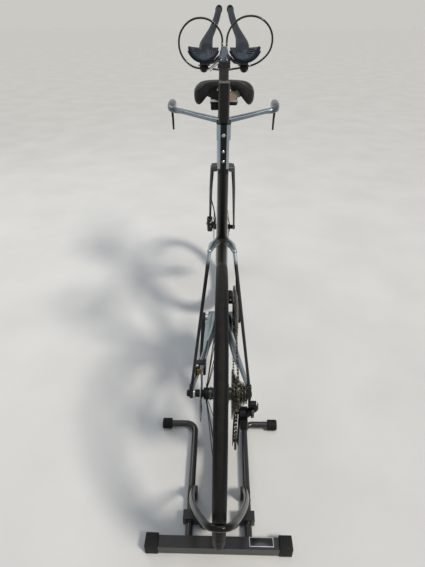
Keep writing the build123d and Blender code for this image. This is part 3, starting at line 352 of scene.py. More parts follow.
# painted shade: grey-brown on the seat tube, near black on the stays and dropouts as painted dark reflection
# and shade
painted_shade_tone = add(t, "ShaderNodeMix", {"Factor": mask["dark_stays"], LOW: linear("#4a4742"),
                                    HIGH: linear("#242628")}, MIXED, data_type="RGBA")
toned = add(t, "ShaderNodeMix", {"Factor": mask["dark"], LOW: colour, HIGH: painted_shade_tone}, MIXED,
            data_type="RGBA")
add(t, "ShaderNodeMix", {"Factor": mask["black"], LOW: toned, HIGH: linear("#070809")}, MIXED,
    shader["Base Color"], data_type="RGBA")
t.links.new(mask["metallic"], shader["Metallic"])
t.links.new(mask["coat"], shader["Coat Weight"])
flake = add(t, "ShaderNodeTexNoise", {"Vector": coords, "Scale": cells(0.4), "Detail": 3.0}, "Fac")
add(t, "ShaderNodeBump", {"Height": flake, "Distance": 0.02 * MM, "Strength": 1.0}, to=shader["Normal"])

FINISHES = {
    "silver_paint": silver, "fork_paint": black_gloss, "pale_alloy": pale_alloy, "grey_carbon": grey_carbon,
    "bare_carbon": carbon, "black_alloy": black_alloy, "caliper_alloy": caliper_alloy, "steel": bright_steel,
    "chain_steel": chain_steel, "saddle_cover": cover, "pad_foam": pad_fabric, "rubber": rubber,
    "tyre": tyre_rubber, "housing": housing_plastic, "stand_paint": powder_coat,
}
# solids whose finish isn't their slot's
SPECIAL = {
    "rear_rotor": rotor_steel, "front_rotor": rotor_steel, "frame": striped, "seat_mast": striped,
    "seat_collar": striped, "seatpost": post_carbon, "riser": riser_carbon, "pad_bracket": riser_carbon,
    "stem": carbon, "crank_left": dull_carbon, "crank_right": dull_carbon, "arm_cups": dull_carbon,
}
SLOT_OF = {s["node"]: s["material_slot"] for s in frame["record"]["subparts"]}
for name, obj in nodes.items():
    obj.data.materials.clear()
    obj.data.materials.append(SPECIAL.get(name, FINISHES[SLOT_OF[name]]))

# Floor, world and lamps
FLOOR_HALF = 45.0
bm = bmesh.new()
bmesh.ops.create_grid(bm, x_segments=1, y_segments=1, size=FLOOR_HALF)
mesh = bpy.data.meshes.new("floor")
bm.to_mesh(mesh)
bm.free()
mesh.materials.append(floor_paint)
floor = bpy.data.objects.new("floor", mesh)
scene.collection.objects.link(floor)

world = bpy.data.worlds.new("studio")
scene.world = world
world.use_nodes = True
t = world.node_tree
sky = t.nodes["Background"].inputs
sky["Strength"].default_value = 1.0
way = add(t, "ShaderNodeSeparateXYZ", {"Vector": add(t, "ShaderNodeTexCoord", output="Generated")}, "Z")
height = add(t, "ShaderNodeMapRange", {"Value": way, "From Min": 0.02, "From Max": 0.6})
dome = add(t, "ShaderNodeMix", {"Factor": height, LOW: linear("#5a5855"), HIGH: linear("#a2a9b0")}, MIXED,
           data_type="RGBA")
add(t, "ShaderNodeMix", {"Factor": to_the_eye(t), LOW: dome, HIGH: linear("#cac9c4")}, MIXED, sky["Color"],
    data_type="RGBA")

LAMPS = [
    # name, kind, place, aimed at, power, size in metres or the sun's width, colour
    ("rim", "AREA", (-1.8, 1.6, 2.6), (0, 0, 0.7), 14.0, 1.2, "#f2f6ff"),
    ("top", "AREA", (0.3, -0.4, 3.4), (0, 0, 0.6), 16.0, 1.6, "#f2f6ff"),
    ("sun", "SUN", (1.5, -1.1, 2.3), (0, 0, 0), 2.4, radians(12), "#fff6ea"),
]
for name, kind, place, target, power, size, colour in LAMPS:
    lamp = bpy.data.lights.new(name, kind)
    lamp.energy, lamp.color = power, linear(colour)[:3]
    setattr(lamp, "size" if kind == "AREA" else "angle", size)
    obj = bpy.data.objects.new(name, lamp)
    turn = (Vector(target) - Vector(place)).to_track_quat("-Z", "Y").to_matrix().to_4x4()
    obj.matrix_world = Matrix.Translation(place) @ turn
    scene.collection.objects.link(obj)


# What the new pieces are made with
def paint(faces, index):
    """Gives faces one of the piece's materials."""
    for f in faces:
        f.material_index = index


def rod(bm, a, b, r, r2=None, sides=16, index=0):
    """A round bar from a to b, radii in millimetres."""
    a, b = Vector(a), Vector(b)
    turn = (b - a).to_track_quat("Z", "Y").to_matrix().to_4x4()
    made = bmesh.ops.create_cone(bm, cap_ends=True, segments=sides, radius1=r * MM,
                                 radius2=(r if r2 is None else r2) * MM, depth=(b - a).length,
                                 matrix=Matrix.Translation((a + b) / 2) @ turn)
    paint({f for v in made["verts"] for f in v.link_faces}, index)


def brick(bm, centre, size, turn=Matrix(), edge=0.0, index=0, segments=2):
    """A box around centre, size in millimetres, with rounded edges."""
    stretch = Matrix.Diagonal((*(s * MM for s in size), 1.0))
    made = bmesh.ops.create_cube(bm, size=1.0, matrix=Matrix.Translation(centre) @ turn @ stretch)
    paint({f for v in made["verts"] for f in v.link_faces}, index)
    if edge:
        edges = list({e for v in made["verts"] for e in v.link_edges})
        bmesh.ops.bevel(bm, geom=edges, offset=edge * MM, segments=segments, profile=0.5, affect="EDGES",
                        material=-1)


def spun(bm, profile, closed, centre, axis, steps, index):
    """Spins a line of points once about an axis, and closes its seam and poles."""
    verts = [bm.verts.new(p) for p in profile]
    edges = [bm.edges.new(pair) for pair in zip(verts, verts[1:] + verts[:1] * closed)]
    before = set(bm.faces)
    bmesh.ops.spin(bm, geom=verts + edges, cent=centre, axis=axis, angle=2 * pi, steps=steps, use_merge=True,
                   use_duplicate=False)
    made = set(bm.faces) - before
    paint(made, index)
    bmesh.ops.remove_doubles(bm, verts=list({v for f in made for v in f.verts}), dist=0.01 * MM)


def turned(bm, base, along, profile, sides=20, index=0):
    """A turned form from base along an axis: profile is (radius, height) in millimetres."""
    turn = Vector(along).to_track_quat("Z", "Y").to_matrix()
    line = [base + turn @ Vector((r * MM, 0, h * MM)) for r, h in profile]
    spun(bm, line, False, base, along, sides, index)


def lathe(bm, profile, y, z, steps, index=0):
    """Turns a closed profile of (x, radius), in millimetres, about an axle at y, z in metres."""
    spun(bm, [(x * MM, y, z + r * MM) for x, r in profile], True, (0, y, z), (1, 0, 0), steps, index)


def socket_bolt(bm, base, along, r, h, index=0):
    """A socket-head bolt standing on base."""
    head = [(0, -0.2), (r, -0.2), (r, h * 0.8), (r * 0.88, h), (r * 0.55, h), (r * 0.5, h * 0.3), (0, h * 0.3)]
    turned(bm, base, along, head, sides=18, index=index)


def thicken(bm, faces, shift, index):
    """Makes a flat sheet a plate by extruding it."""
    made = bmesh.ops.extrude_face_region(bm, geom=faces, use_keep_orig=True)["geom"]
    verts = [v for v in made if isinstance(v, bmesh.types.BMVert)]
    bmesh.ops.translate(bm, verts=verts, vec=shift)
    paint({f for v in verts for f in v.link_faces} | set(faces), index)


def slab(bm, outline, x0, x1, index=0):
    """A plate from an outline of (y, z) metres, from x0 to x1 in millimetres."""
    face = bm.faces.new([bm.verts.new((x0 * MM, y, z)) for y, z in outline])
    thicken(bm, [face], Vector(((x1 - x0) * MM, 0, 0)), index)


def band(bm, outer, inner, x0, x1, index=0):
    """A flat ring between two loops of (y, z) metres with as many points, from x0 to x1 in millimetres."""
    loops = [[bm.verts.new((x0 * MM, y, z)) for y, z in loop] for loop in (outer, inner)]
    edges = [bm.edges.new(pair) for loop in loops for pair in zip(loop, loop[1:] + loop[:1])]
    thicken(bm, bmesh.ops.bridge_loops(bm, edges=edges)["faces"], Vector(((x1 - x0) * MM, 0, 0)), index)


def polar(y, z, r, a):
    """The point r millimetres from an axle at y, z, at angle a from straight up, as (y, z) metres."""
    return y + r * MM * sin(a), z + r * MM * cos(a)


def circle(y, z, r, count):
    """A loop of (y, z) metres round an axle, r in millimetres."""
    return [polar(y, z, r, 2 * pi * k / count) for k in range(count)]


def capsule(a, b, ra, rb, steps=10):
    """The outline round two circles at a and b, as (y, z) metres."""
    start = atan2(b[1] - a[1], b[0] - a[0]) + pi / 2
    return [(c[0] + r * MM * cos(turn + pi * k / steps), c[1] + r * MM * sin(turn + pi * k / steps))
            for c, r, turn in ((a, ra, start), (b, rb, start + pi)) for k in range(steps + 1)]


def hull(bm, rings, index=0):
    """The skin through closed rings of points, bridged one to the next, with a flat face on each end."""
    loops = []
    for ring in rings:
        verts = [bm.verts.new(p) for p in ring]
        loops.append([bm.edges.new(pair) for pair in zip(verts, verts[1:] + verts[:1])])
    faces = bmesh.ops.edgeloop_fill(bm, edges=loops[0] + loops[-1])["faces"]
    for low, high in zip(loops, loops[1:]):
        faces += bmesh.ops.bridge_loops(bm, edges=low + high)["faces"]
    paint(faces, index)


def quilt(bm, rings, second):
    """The open skin through closed rings of points; second says which faces have the second material."""
    rings = [[bm.verts.new(p) for p in ring] for ring in rings]
    count = len(rings[0])
    for n, (low, high) in enumerate(zip(rings, rings[1:])):
        for k in range(count):
            face = bm.faces.new((low[k], low[(k + 1) % count], high[(k + 1) % count], high[k]))
            face.material_index = int(second(n, k))
    return rings


def sweep(bm, points, radius, sides=12, index=0):
    """A round tube along points in metres, its radius in millimetres."""
    rings, side = [], None
    for k, p in enumerate(points):
        along = (points[min(k + 1, len(points) - 1)] - points[max(k - 1, 0)]).normalized()
        if side is None:
            side = along.orthogonal().normalized()
        side = (side - along * side.dot(along)).normalized()
        other = along.cross(side)
        rings.append([p + (side * cos(2 * pi * j / sides) + other * sin(2 * pi * j / sides)) * radius * MM
                      for j in range(sides)])
    hull(bm, rings, index)


def squarer(share, power):
    """Draws a sine or cosine out, so that a circle becomes a box with round corners."""
    return abs(share) ** (2 / power) * (1 if share > 0 else -1)


def skin(bm, path, sides=28, power=2.6, index=0):
    """A smooth closed form along stations of (x, y, z, width, height): metres, then millimetres."""
    rings = []
    for k, (x, y, z, w, h) in enumerate(path):
        before, after = path[max(k - 1, 0)], path[min(k + 1, len(path) - 1)]
        along = (Vector(after[:3]) - Vector(before[:3])).normalized()
        across = along.cross(Vector((0, 0, 1))).normalized()
        high = across.cross(along)
        ring = []
        for j in range(sides):
            a = 2 * pi * j / sides
            ring.append(Vector((x, y, z)) + across * (w / 2 * MM * squarer(cos(a), power))
                        + high * (h / 2 * MM * squarer(sin(a), power)))
        rings.append(ring)
    hull(bm, rings, index)


def piece(name, bm, materials, body, replaces=(), angle=35):
    """Makes the finished object, shaded smooth below an angle, riding on a body."""
    bmesh.ops.recalc_face_normals(bm, faces=bm.faces)
    mesh = bpy.data.meshes.new(name)
    bm.to_mesh(mesh)
    bm.free()
    for m in materials:
        mesh.materials.append(m)
    mesh.polygons.foreach_set("use_smooth", [True] * len(mesh.polygons))
    mesh.set_sharp_from_angle(angle=radians(angle))
    obj = bpy.data.objects.new(name, mesh)
    scene.collection.objects.link(obj)
    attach(obj, body)
    if replaces:
        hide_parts(*replaces)
    return obj


def spline(points, steps):
    """A smooth line through points of any size, ends included."""
    done = []
    for k in range(len(points) - 1):
        p0, p1 = points[max(k - 1, 0)], points[k]
        p2, p3 = points[k + 1], points[min(k + 2, len(points) - 1)]
        for j in range(steps):
            t = j / steps
            done.append(tuple(0.5 * (2 * b + (c - a) * t + (2 * a - 5 * b + 4 * c - d) * t * t
                                     + (3 * b - a - 3 * c + d) * t ** 3)
                              for a, b, c, d in zip(p0, p1, p2, p3)))
    return done + [tuple(points[-1])]


# Wheels
TYRE_R, TYRE_HALF, BEAD_R = 338.96, 14.0, 317.4
RIM_TOP, RIM_BED = 317.1, 266.1
RIM_LINE = [(12.0, RIM_TOP), (13.4, 305.1), (12.6, 288.1), (8.5, 271.1), (4.0, RIM_BED), (0.0, 265.6)]
WHEELS = [
    # name, body, axle Y, spokes, flange that leads, flange that trails
    ("rear", "rear_wheel", REAR_Y, 24, 20.0, -35.0),
    ("front", "front_wheel", FRONT_Y, 20, 34.0, -23.0),
]
FLANGE_RUN = 243.0                 # from a hub's flange out to the rim's bed
VALVE = [(0, 0), (3.0, 0), (3.0, 24), (2.3, 25), (2.3, 34), (2.9, 35), (2.9, 39), (1.4, 41), (0, 41)]
for name, body, y, spokes, lead, trail in WHEELS:
    # the tyre: a round crown down to the rim's edges
    bm = bmesh.new()
    crown = [(TYRE_HALF * sin(radians(a)), TYRE_R - TYRE_HALF + TYRE_HALF * cos(radians(a)))
             for a in range(-104, 105, 8)]
    lathe(bm, [(-10.5, BEAD_R)] + crown + [(10.5, BEAD_R)], y, AXLE_Z, 192)
    piece(name + "_road_tyre", bm, [tyre_rubber], body, (name + "_tyre",), angle=60)

    # the deep rim, the nipples' ends of its spokes, and the valve
    bm = bmesh.new()
    half = spline(RIM_LINE, 5)
    lathe(bm, half + [(-x, r) for x, r in reversed(half[:-1])], y, AXLE_Z, 160)
    for k in range(spokes):
        side = trail if k % 2 else lead
        a = 2 * pi * k / spokes
        out = Vector((-side * 0.94 / FLANGE_RUN, sin(a), cos(a))).normalized()
        foot = Vector((side * 0.06 * MM, y, AXLE_Z)) + Vector((0, sin(a), cos(a))) * (RIM_BED - 0.2) * MM
        rod(bm, foot - out * 0.013, foot + out * 0.001, 1.5, 2.2, sides=10, index=1)
    a = pi / spokes
    out = Vector((0, sin(a), cos(a)))
    turned(bm, Vector((0, y, AXLE_Z)) + out * (RIM_BED + 1) * MM, -out, VALVE, sides=14, index=1)
    piece(name + "_deep_rim", bm, [carbon, black_alloy], body, (name + "_rim",), angle=50)

# disc rotors: a slotted brake track on six arms
ROTORS = [("rear", "rear_wheel", REAR_Y, -49.0), ("front", "front_wheel", FRONT_Y, -36.0)]
ROTOR_HALF, VENTS = 0.9, 30
TRACK = (56.0, 59.5, 62.5, 65.5, 68.0, 70.0)     # rings of the brake track
SLOT_ROWS = (1, 3)                                # the ones that are cut through
for name, body, y, x in ROTORS:
    bm = bmesh.new()
    count = VENTS * 6
    rings = [[bm.verts.new(((x - ROTOR_HALF) * MM, *p)) for p in circle(y, AXLE_Z, r, count)] for r in TRACK]
    sheet = [bm.faces.new((a[k], a[(k + 1) % count], b[(k + 1) % count], b[k]))
             for i, (a, b) in enumerate(zip(rings, rings[1:])) for k in range(count)
             if i not in SLOT_ROWS or (k + 2 * i) % 6 >= 3]
    thicken(bm, sheet, Vector((2 * ROTOR_HALF * MM, 0, 0)), 0)
    band(bm, circle(y, AXLE_Z, 22.0, 48), circle(y, AXLE_Z, 9.9, 48), x - ROTOR_HALF, x + ROTOR_HALF, index=1)
    for k in range(6):
        a = 2 * pi * k / 6
        b = a + 0.28
        arm = capsule(polar(y, AXLE_Z, 18, a), polar(y, AXLE_Z, 57.5, b), 4.2, 3.0)
        slab(bm, arm, x - 0.8, x + 0.8, index=1)
        bolt = Vector(((x - ROTOR_HALF) * MM, *polar(y, AXLE_Z, 16, a)))
        socket_bolt(bm, bolt, (-1, 0, 0), 2.6, 1.6, index=2)
    piece(name + "_vented_rotor", bm, [rotor_steel, black_alloy, bright_steel], body,
          (name + "_rotor",))

# end caps of the rear hub, and a steel ring beside its rotor
bm = bmesh.new()
for side in (-1, 1):
    turned(bm, Vector((side * 23 * MM, REAR_Y, AXLE_Z)), (side, 0, 0),
           [(0, 0), (17.5, 0), (17.5, 3), (15.4, 4), (15.4, 6), (0, 6)], sides=32)
turned(bm, Vector((-70.4 * MM, REAR_Y, AXLE_Z)), (1, 0, 0),
       [(9.7, 0), (11.2, 0.6), (11.2, 5), (9.7, 5.6), (9.7, 0)], sides=32, index=1)
piece("rear_hub_trim", bm, [black_gloss, bright_steel], "rear_wheel")

# bolts in the ends of the axles
AXLE_ENDS = [("rear", "frame", REAR_Y, -84, 79), ("front", "steering", FRONT_Y, -64, 59)]
for name, body, y, left_end, right_end in AXLE_ENDS:
    bm = bmesh.new()
    socket_bolt(bm, Vector((left_end * MM, y, AXLE_Z)), (-1, 0, 0), 7.6, 2.5)
    socket_bolt(bm, Vector((right_end * MM, y, AXLE_Z)), (1, 0, 0), 7.0, 2.2)
    piece(name + "_axle_ends", bm, [black_alloy], body)

# Drivetrain
CHAIN_PITCH, CHAINLINE = 12.7, 45.0
RING_TEETH, DRIVEN_TEETH, PULLEY_TEETH = 54, 19, 11
CRANK_LONG, CRANK_DIP = 170.0, radians(16)
COG_STEP = 3.7
GUIDE, TENSION = (-2.0, 268.0), (12.0, 130.0)
COGS = [11, 12, 13, 14, 15, 17, 19, 21, 24, 27, 30]


def pitch_r(teeth):
    """The radius at which the chain's pins run, in millimetres."""
    return CHAIN_PITCH / (2 * sin(pi / teeth))


def toothed(y, z, teeth, start=0.0, rise=2.5):
    """The outline of a sprocket as (y, z) metres, four points to a tooth."""
    tooth = ((-0.24, -3.6), (0.24, -3.6), (0.42, rise), (0.58, rise))
    return [polar(y, z, pitch_r(teeth) + height, start + 2 * pi * (k + share) / teeth)
            for k in range(teeth) for share, height in tooth]


# chainring: the toothed ring, its carrier, its bolts and nuts, and a domed carbon disc over the outer face
RING_BORE, RING_HALF = 99.0, 1.1
CARRIER_HALF, RING_BOLTS, BOLT_CIRCLE, BOLT_FOOT = 1.8, 5, 78.0, 57.2
CARRIER = [(-CARRIER_HALF, 72.6), (-1.3, 72.0), (1.3, 72.0), (CARRIER_HALF, 72.6), (CARRIER_HALF, RING_BORE),
           (RING_HALF, 102.6), (-RING_HALF, 102.6), (-CARRIER_HALF, RING_BORE)]
DOMED_DISC = [(2.0, 98.6), (4.4, 97.0), (8.6, 90.0), (11.6, 80.0), (13.6, 64.0), (14.4, 46.0), (14.6, 24.0),
              (12.6, 24.0), (12.4, 46.0), (11.4, 64.0), (9.4, 79.0), (6.6, 88.0), (2.0, 96.0)]
RING_NUT = [(0, -0.2), (5.2, -0.2), (5.2, 0.8), (4.6, 1.3), (2.6, 1.3), (2.4, 0.5), (0, 0.5)]
bm = bmesh.new()
ring_y, ring_z = REAR_Y + BB_Y * MM, BB_Z * MM
band(bm, toothed(ring_y, ring_z, RING_TEETH), circle(ring_y, ring_z, RING_BORE, RING_TEETH * 4),
     CHAINLINE - RING_HALF, CHAINLINE + RING_HALF)
lathe(bm, [(CHAINLINE + x, r) for x, r in CARRIER], ring_y, ring_z, 108)
for k in range(RING_BOLTS):
    a = radians(20 + 360 / RING_BOLTS * k)
    y, z = ring_y + BOLT_CIRCLE * MM * cos(a), ring_z + BOLT_CIRCLE * MM * sin(a)
    turned(bm, Vector(((CHAINLINE - CARRIER_HALF) * MM, y, z)), (-1, 0, 0), RING_NUT, index=1)
    socket_bolt(bm, Vector((BOLT_FOOT * MM, y, z)), (1, 0, 0), 5.0, 1.8, index=1)
lathe(bm, [(CHAINLINE + x, r) for x, r in DOMED_DISC], ring_y, ring_z, 96, index=2)
piece("toothed_chainring", bm, [black_alloy, bright_steel, disc_carbon], "crank",
      ("chainring",))

# chain catcher beside the seat tube
bm = bmesh.new()
turn = Matrix.Rotation(radians(12), 4, "X")
brick(bm, at(29, 379, 377), (17, 30, 40), turn, edge=5)
brick(bm, at(36.6, 383, 372), (3, 46, 18), turn, edge=1.2)
socket_bolt(bm, at(31, 364.6, 377), (0, -1, 0.2), 3.4, 2.4, index=1)
piece("chain_catcher", bm, [black_alloy, bright_steel], "frame")

# caps on the cranks' axis, and the rims of the pedal threads
bm = bmesh.new()
for side, back in ((-1, 1), (1, -1)):
    turned(bm, at(side * 67, BB_Y, BB_Z), (side, 0, 0),
           [(0, -0.2), (14.5, -0.2), (14.5, 1.6), (13.0, 2.8), (7.5, 2.8), (7.0, 1.2), (0, 1.2)], sides=32)
    hole = at(side * 67, BB_Y - back * CRANK_LONG * cos(CRANK_DIP), BB_Z - back * CRANK_LONG * sin(CRANK_DIP))
    turned(bm, hole, (side, 0, 0),
           [(7.2, -0.4), (10.2, -0.4), (10.2, 0.5), (9.6, 0.8), (7.2, 0.8), (7.2, -0.4)], sides=28, index=1)
piece("crank_caps", bm, [black_alloy, bright_steel], "crank")

# cassette: the sprockets on their carrier, and the lock ring
bm = bmesh.new()
for i, teeth in enumerate(COGS):
    x = CHAINLINE + (COGS.index(DRIVEN_TEETH) - i) * COG_STEP
    band(bm, toothed(REAR_Y, AXLE_Z, teeth, start=0.1 * i), circle(REAR_Y, AXLE_Z, 18.6, teeth * 4),
         x - 0.8, x + 0.8, index=i % 2)
lathe(bm, [(29.4, 9.8), (29.4, 19.2), (67.8, 19.2), (67.8, 9.8)], REAR_Y, AXLE_Z, 48, index=2)
turned(bm, Vector((68.0 * MM, REAR_Y, AXLE_Z)), (1, 0, 0),
       [(10.0, -0.2), (16.5, -0.2), (16.5, 1.2), (15.0, 2.0), (10.0, 2.0), (10.0, -0.2)], sides=36, index=2)
piece("toothed_cassette", bm, [chain_steel, cog_steel, black_alloy], "rear_wheel",
      ("cassette",))


def chain_points():
    """The chain's centre line round its four wheels, as evenly spaced (y, z) in millimetres."""
    wheels = [(BB_Y, BB_Z, pitch_r(RING_TEETH), 1), (0.0, AXLE_Z / MM, pitch_r(DRIVEN_TEETH), 1),
              (*GUIDE, pitch_r(PULLEY_TEETH), -1), (*TENSION, pitch_r(PULLEY_TEETH), 1)]
    legs = []
    for (y0, z0, r0, s0), (y1, z1, r1, s1) in zip(wheels, wheels[1:] + wheels[:1]):
        k0, k1 = s0 * r0, s1 * r1
        dy, dz = y1 - y0, z1 - z0
        k = k1 - k0
        a = atan2(dz, dy) - atan2(k, sqrt(dy * dy + dz * dz - k * k))
        legs.append(((y0 + k0 * sin(a), z0 - k0 * cos(a)), (y1 + k1 * sin(a), z1 - k1 * cos(a))))
    dense = []
    shares = [t / 60 for t in range(60)]
    for i, (start, end) in enumerate(legs):
        dense += [(start[0] + (end[0] - start[0]) * t, start[1] + (end[1] - start[1]) * t) for t in shares]
        cy, cz, r, sense = wheels[(i + 1) % 4]
        nxt = legs[(i + 1) % 4][0]
        a0, a1 = atan2(end[1] - cz, end[0] - cy), atan2(nxt[1] - cz, nxt[0] - cy)
        while (a1 - a0) * sense < 0:
            a1 += 2 * pi * sense
        dense += [(cy + r * cos(a0 + (a1 - a0) * t), cz + r * sin(a0 + (a1 - a0) * t)) for t in shares]
    runs = [sqrt((b[0] - a[0]) ** 2 + (b[1] - a[1]) ** 2) for a, b in zip(dense, dense[1:] + dense[:1])]
    count = 2 * round(sum(runs) / CHAIN_PITCH / 2)
    step, done, gone, k = sum(runs) / count, [], 0.0, 0
    for n in range(count):
        while gone + runs[k] < n * step:
            gone += runs[k]
            k += 1
        a, b, t = dense[k], dense[(k + 1) % len(dense)], (n * step - gone) / runs[k]
        done.append((a[0] + (b[0] - a[0]) * t, a[1] + (b[1] - a[1]) * t))
    return done


# chain: outer and inner plates by turns, on rollers and pins
bm = bmesh.new()
pins = [(REAR_Y + y * MM, z * MM) for y, z in chain_points()]
for k, (a, b) in enumerate(zip(pins, pins[1:] + pins[:1])):
    near, far = ((1.9, 2.6), (1.2, 1.9))[k % 2]
    for s in (-1, 1):
        slab(bm, capsule(a, b, 4.0, 4.0, steps=5), CHAINLINE + s * near, CHAINLINE + s * far, index=k % 2)
    rod(bm, ((CHAINLINE - 1.2) * MM, *a), ((CHAINLINE + 1.2) * MM, *a), 3.8, sides=10, index=1)
    rod(bm, ((CHAINLINE - 2.75) * MM, *a), ((CHAINLINE + 2.75) * MM, *a), 1.6, sides=8, index=1)
piece("roller_chain", bm, [chain_steel, cog_steel], "frame", ("chain",))

# derailleur: pulleys, bolts and covers
bm = bmesh.new()
for (y, z), bolts in ((GUIDE, (-1,)), (TENSION, (-1, 1))):
    y, z = REAR_Y + y * MM, z * MM
    band(bm, toothed(y, z, PULLEY_TEETH, rise=1.6), circle(y, z, 16.5, 44), CHAINLINE - 1.2, CHAINLINE + 1.2)
    for s in bolts:
        socket_bolt(bm, Vector(((CHAINLINE + s * 7) * MM, y, z)), (s, 0, 0), 4.2, 1.6, index=1)
socket_bolt(bm, at(94, -4, 305), (1, 0, 0), 6.0, 2.4, index=1)
turned(bm, at(71, *GUIDE), (1, 0, 0), [(0, -0.2), (11.0, -0.2), (11.0, 1.5), (9.5, 2.5), (0, 2.5)],
       sides=28, index=2)
brick(bm, at(85, -10, 282), (9, 20, 30), edge=3, index=2)
# knuckle and broad cage plates
rod(bm, at(52.5, *GUIDE), at(74, GUIDE[0], GUIDE[1] + 3), 17.5, 15.0, sides=32, index=3)
brick(bm, at(63, -26, 254), (20, 16, 34), Matrix.Rotation(radians(-12), 4, "X"), edge=4, index=3)
for x, top_r, low_r in ((52.2, 19.0, 16.5), (36.6, 13.0, 16.5)):
    slab(bm, capsule((REAR_Y + GUIDE[0] * MM, GUIDE[1] * MM), (REAR_Y + TENSION[0] * MM, TENSION[1] * MM),
                     top_r, low_r, steps=14), x, x + 1.3, index=3)
piece("derailleur_trim", bm, [rubber, bright_steel, black_gloss, black_alloy], "frame")

# bottom bracket cups
bm = bmesh.new()
for side in (-1, 1):
    turned(bm, at(side * 40, BB_Y, BB_Z), (side, 0, 0),
           [(12.2, -0.2), (21.0, -0.2), (21.0, 2.2), (19.5, 3.2), (12.2, 3.2), (12.2, -0.2)], sides=36)
piece("bracket_cups", bm, [black_alloy], "frame")


# Saddle
SADDLE_TILT = radians(8.5)
CLAMP_Y, CLAMP_Z = 402.17, 981.0      # the rail clamp, from the floor under the rear axle
tilt = Matrix.Rotation(-SADDLE_TILT, 4, "X")


def saddle_at(x, y, z):
    """A point given in millimetres from the rail clamp, in the saddle's tilted frame."""
    c, s = cos(SADDLE_TILT), sin(SADDLE_TILT)
    return at(x, CLAMP_Y + y * c + z * s, CLAMP_Z - y * s + z * c)


SADDLE_STATIONS = [
    # ahead of the clamp, half width, crown above the rails, droop at the edge
    (-100.0, 54.0, 34.0, 34.0), (-82.0, 69.0, 38.0, 52.0), (-40.0, 70.0, 40.0, 50.0),
    (10.0, 48.0, 40.0, 32.0), (60.0, 26.0, 38.0, 18.0), (145.0, 19.0, 36.0, 15.0),
]
SADDLE_HALF_LINE = [
    # share of the half width, share of the droop, share of the skin: round the right half from the crown
    (0.0, 0.0, 0.0), (0.25, 0.005, 0.0), (0.5, 0.02, 0.0), (0.7, 0.06, 0.0), (0.86, 0.16, 0.0),
    (0.98, 0.38, 0.0), (1.0, 0.68, 0.0), (0.96, 0.9, 0.0), (0.87, 1.0, 0.0), (0.79, 0.93, 0.2),
    (0.73, 0.74, 0.45), (0.68, 0.5, 0.8), (0.6, 0.2, 1.0), (0.4, 0.04, 1.0), (0.2, 0.0, 1.0), (0.0, 0.0, 1.0),
]
SADDLE_SKIN = 12.0
SADDLE_COVERED = 30                # faces of cover on each side of the crown's line
CHANNEL_HALF, CHANNEL_DEEP = 11.0, 3.0
# the saddle's padded shell
outline = spline(SADDLE_HALF_LINE, 3)
rows = spline(SADDLE_STATIONS, 6)
bm = bmesh.new()
rings = []
for y, half, crown, droop in rows:
    ring = []
    for side, points in ((1, outline), (-1, outline[-2:0:-1])):
        for x, drop, under in points:
            hollow = max(0.0, 1 - (abs(x) * half / CHANNEL_HALF) ** 2) if under == 0 and drop < 0.1 else 0.0
            ring.append(saddle_at(side * x * half, y,
                                  crown - droop * drop - SADDLE_SKIN * under - CHANNEL_DEEP * hollow))
    rings.append(ring)
count, last = len(rings[0]), len(outline) - 1
rings = quilt(bm, rings, lambda n, k: min(k, count - k) >= SADDLE_COVERED)
# rounded ends, closed along the crescent: each point moves towards the one across the skin
across = [last - k for k in range(last + 1)] + [2 * last - 1 - m for m in range(last - 1)]
for ends, reach in ((rings[0], -3.0), (rings[-1], 4.0)):
    before = ends
    for share, out in ((0.22, 0.7), (0.6, 1.0)):
        cap = [bm.verts.new(v.co.lerp(ends[across[k]].co, share / 2) + Vector((0, reach * out * MM, 0)))
               for k, v in enumerate(ends)]
        for k in range(count):
            bm.faces.new((before[k - 1], before[k], cap[k], cap[k - 1]))
        before = cap
    bm.faces.new(before)
for side in (-1, 1):
    brick(bm, saddle_at(side * 22, -81.3, 20), (12, 12, 20), tilt, edge=2, index=1)
brick(bm, saddle_at(0, 118.3, 19), (34, 12, 20), tilt, edge=2, index=1)
shell = piece("stitched_saddle", bm, [cover, saddle_base], "frame", ("saddle",), angle=50)

# piping along the cover's edge
bm = bmesh.new()
for side in (-1, 1):
    line = [saddle_at(side * 0.985 * half, y, crown - droop * 0.42) for y, half, crown, droop in rows[1:]]
    sweep(bm, line, 1.3, sides=8)
REAR_HALF = [(0.98, 0.42), (0.86, 0.19), (0.6, 0.05), (0.3, 0.02)]     # shares of the half width and droop
rear_edge = [(-x, drop) for x, drop in REAR_HALF] + [(0, 0.01)] + REAR_HALF[::-1]
rear_line = [saddle_at(x * 54.0, -101.2, 34.0 - 34.0 * drop) for x, drop in rear_edge]
sweep(bm, [Vector(p) for p in spline(rear_line, 4)], 1.3, sides=8)
piece("saddle_piping", bm, [piping], "frame")

# clamp cradles, with the bolts and nuts that hold the rails
CLAMP_BOLT = [(0, -0.4), (4.6, -0.4), (4.6, 2.6), (3.9, 3.6), (2.3, 3.6), (2.1, 1.4), (0, 1.4)]
CLAMP_NUT = [(0, -0.4), (5.2, -0.4), (5.2, 3.4), (4.4, 4.0), (0, 4.0)]
bm = bmesh.new()
for side in (-1, 1):
    brick(bm, saddle_at(side * 22.5, 0, -9.8), (25, 32, 7), tilt, edge=2.5)
    brick(bm, saddle_at(side * 22.5, 0, 7.2), (25, 34, 6), tilt, edge=2)
    turned(bm, saddle_at(side * 30.4, 0, 9), (0, 0, 1), CLAMP_BOLT, index=1)
    turned(bm, saddle_at(side * 30.4, 0, -12), (0, 0, -1), CLAMP_NUT, sides=6, index=1)
# cheeks of the clamp, the left one taller as a dark block put where there is shade, and the wedges under the
# base
for side, height in ((-1, 45), (1, 26)):
    brick(bm, saddle_at(side * 19.5, 2, -5 - (height - 26) * 0.1), (28, 24, height), tilt, edge=3)
WEDGE = [(6.0, 14.5), (46.0, 14.5), (46.0, 6.0), (6.0, -10.0)]
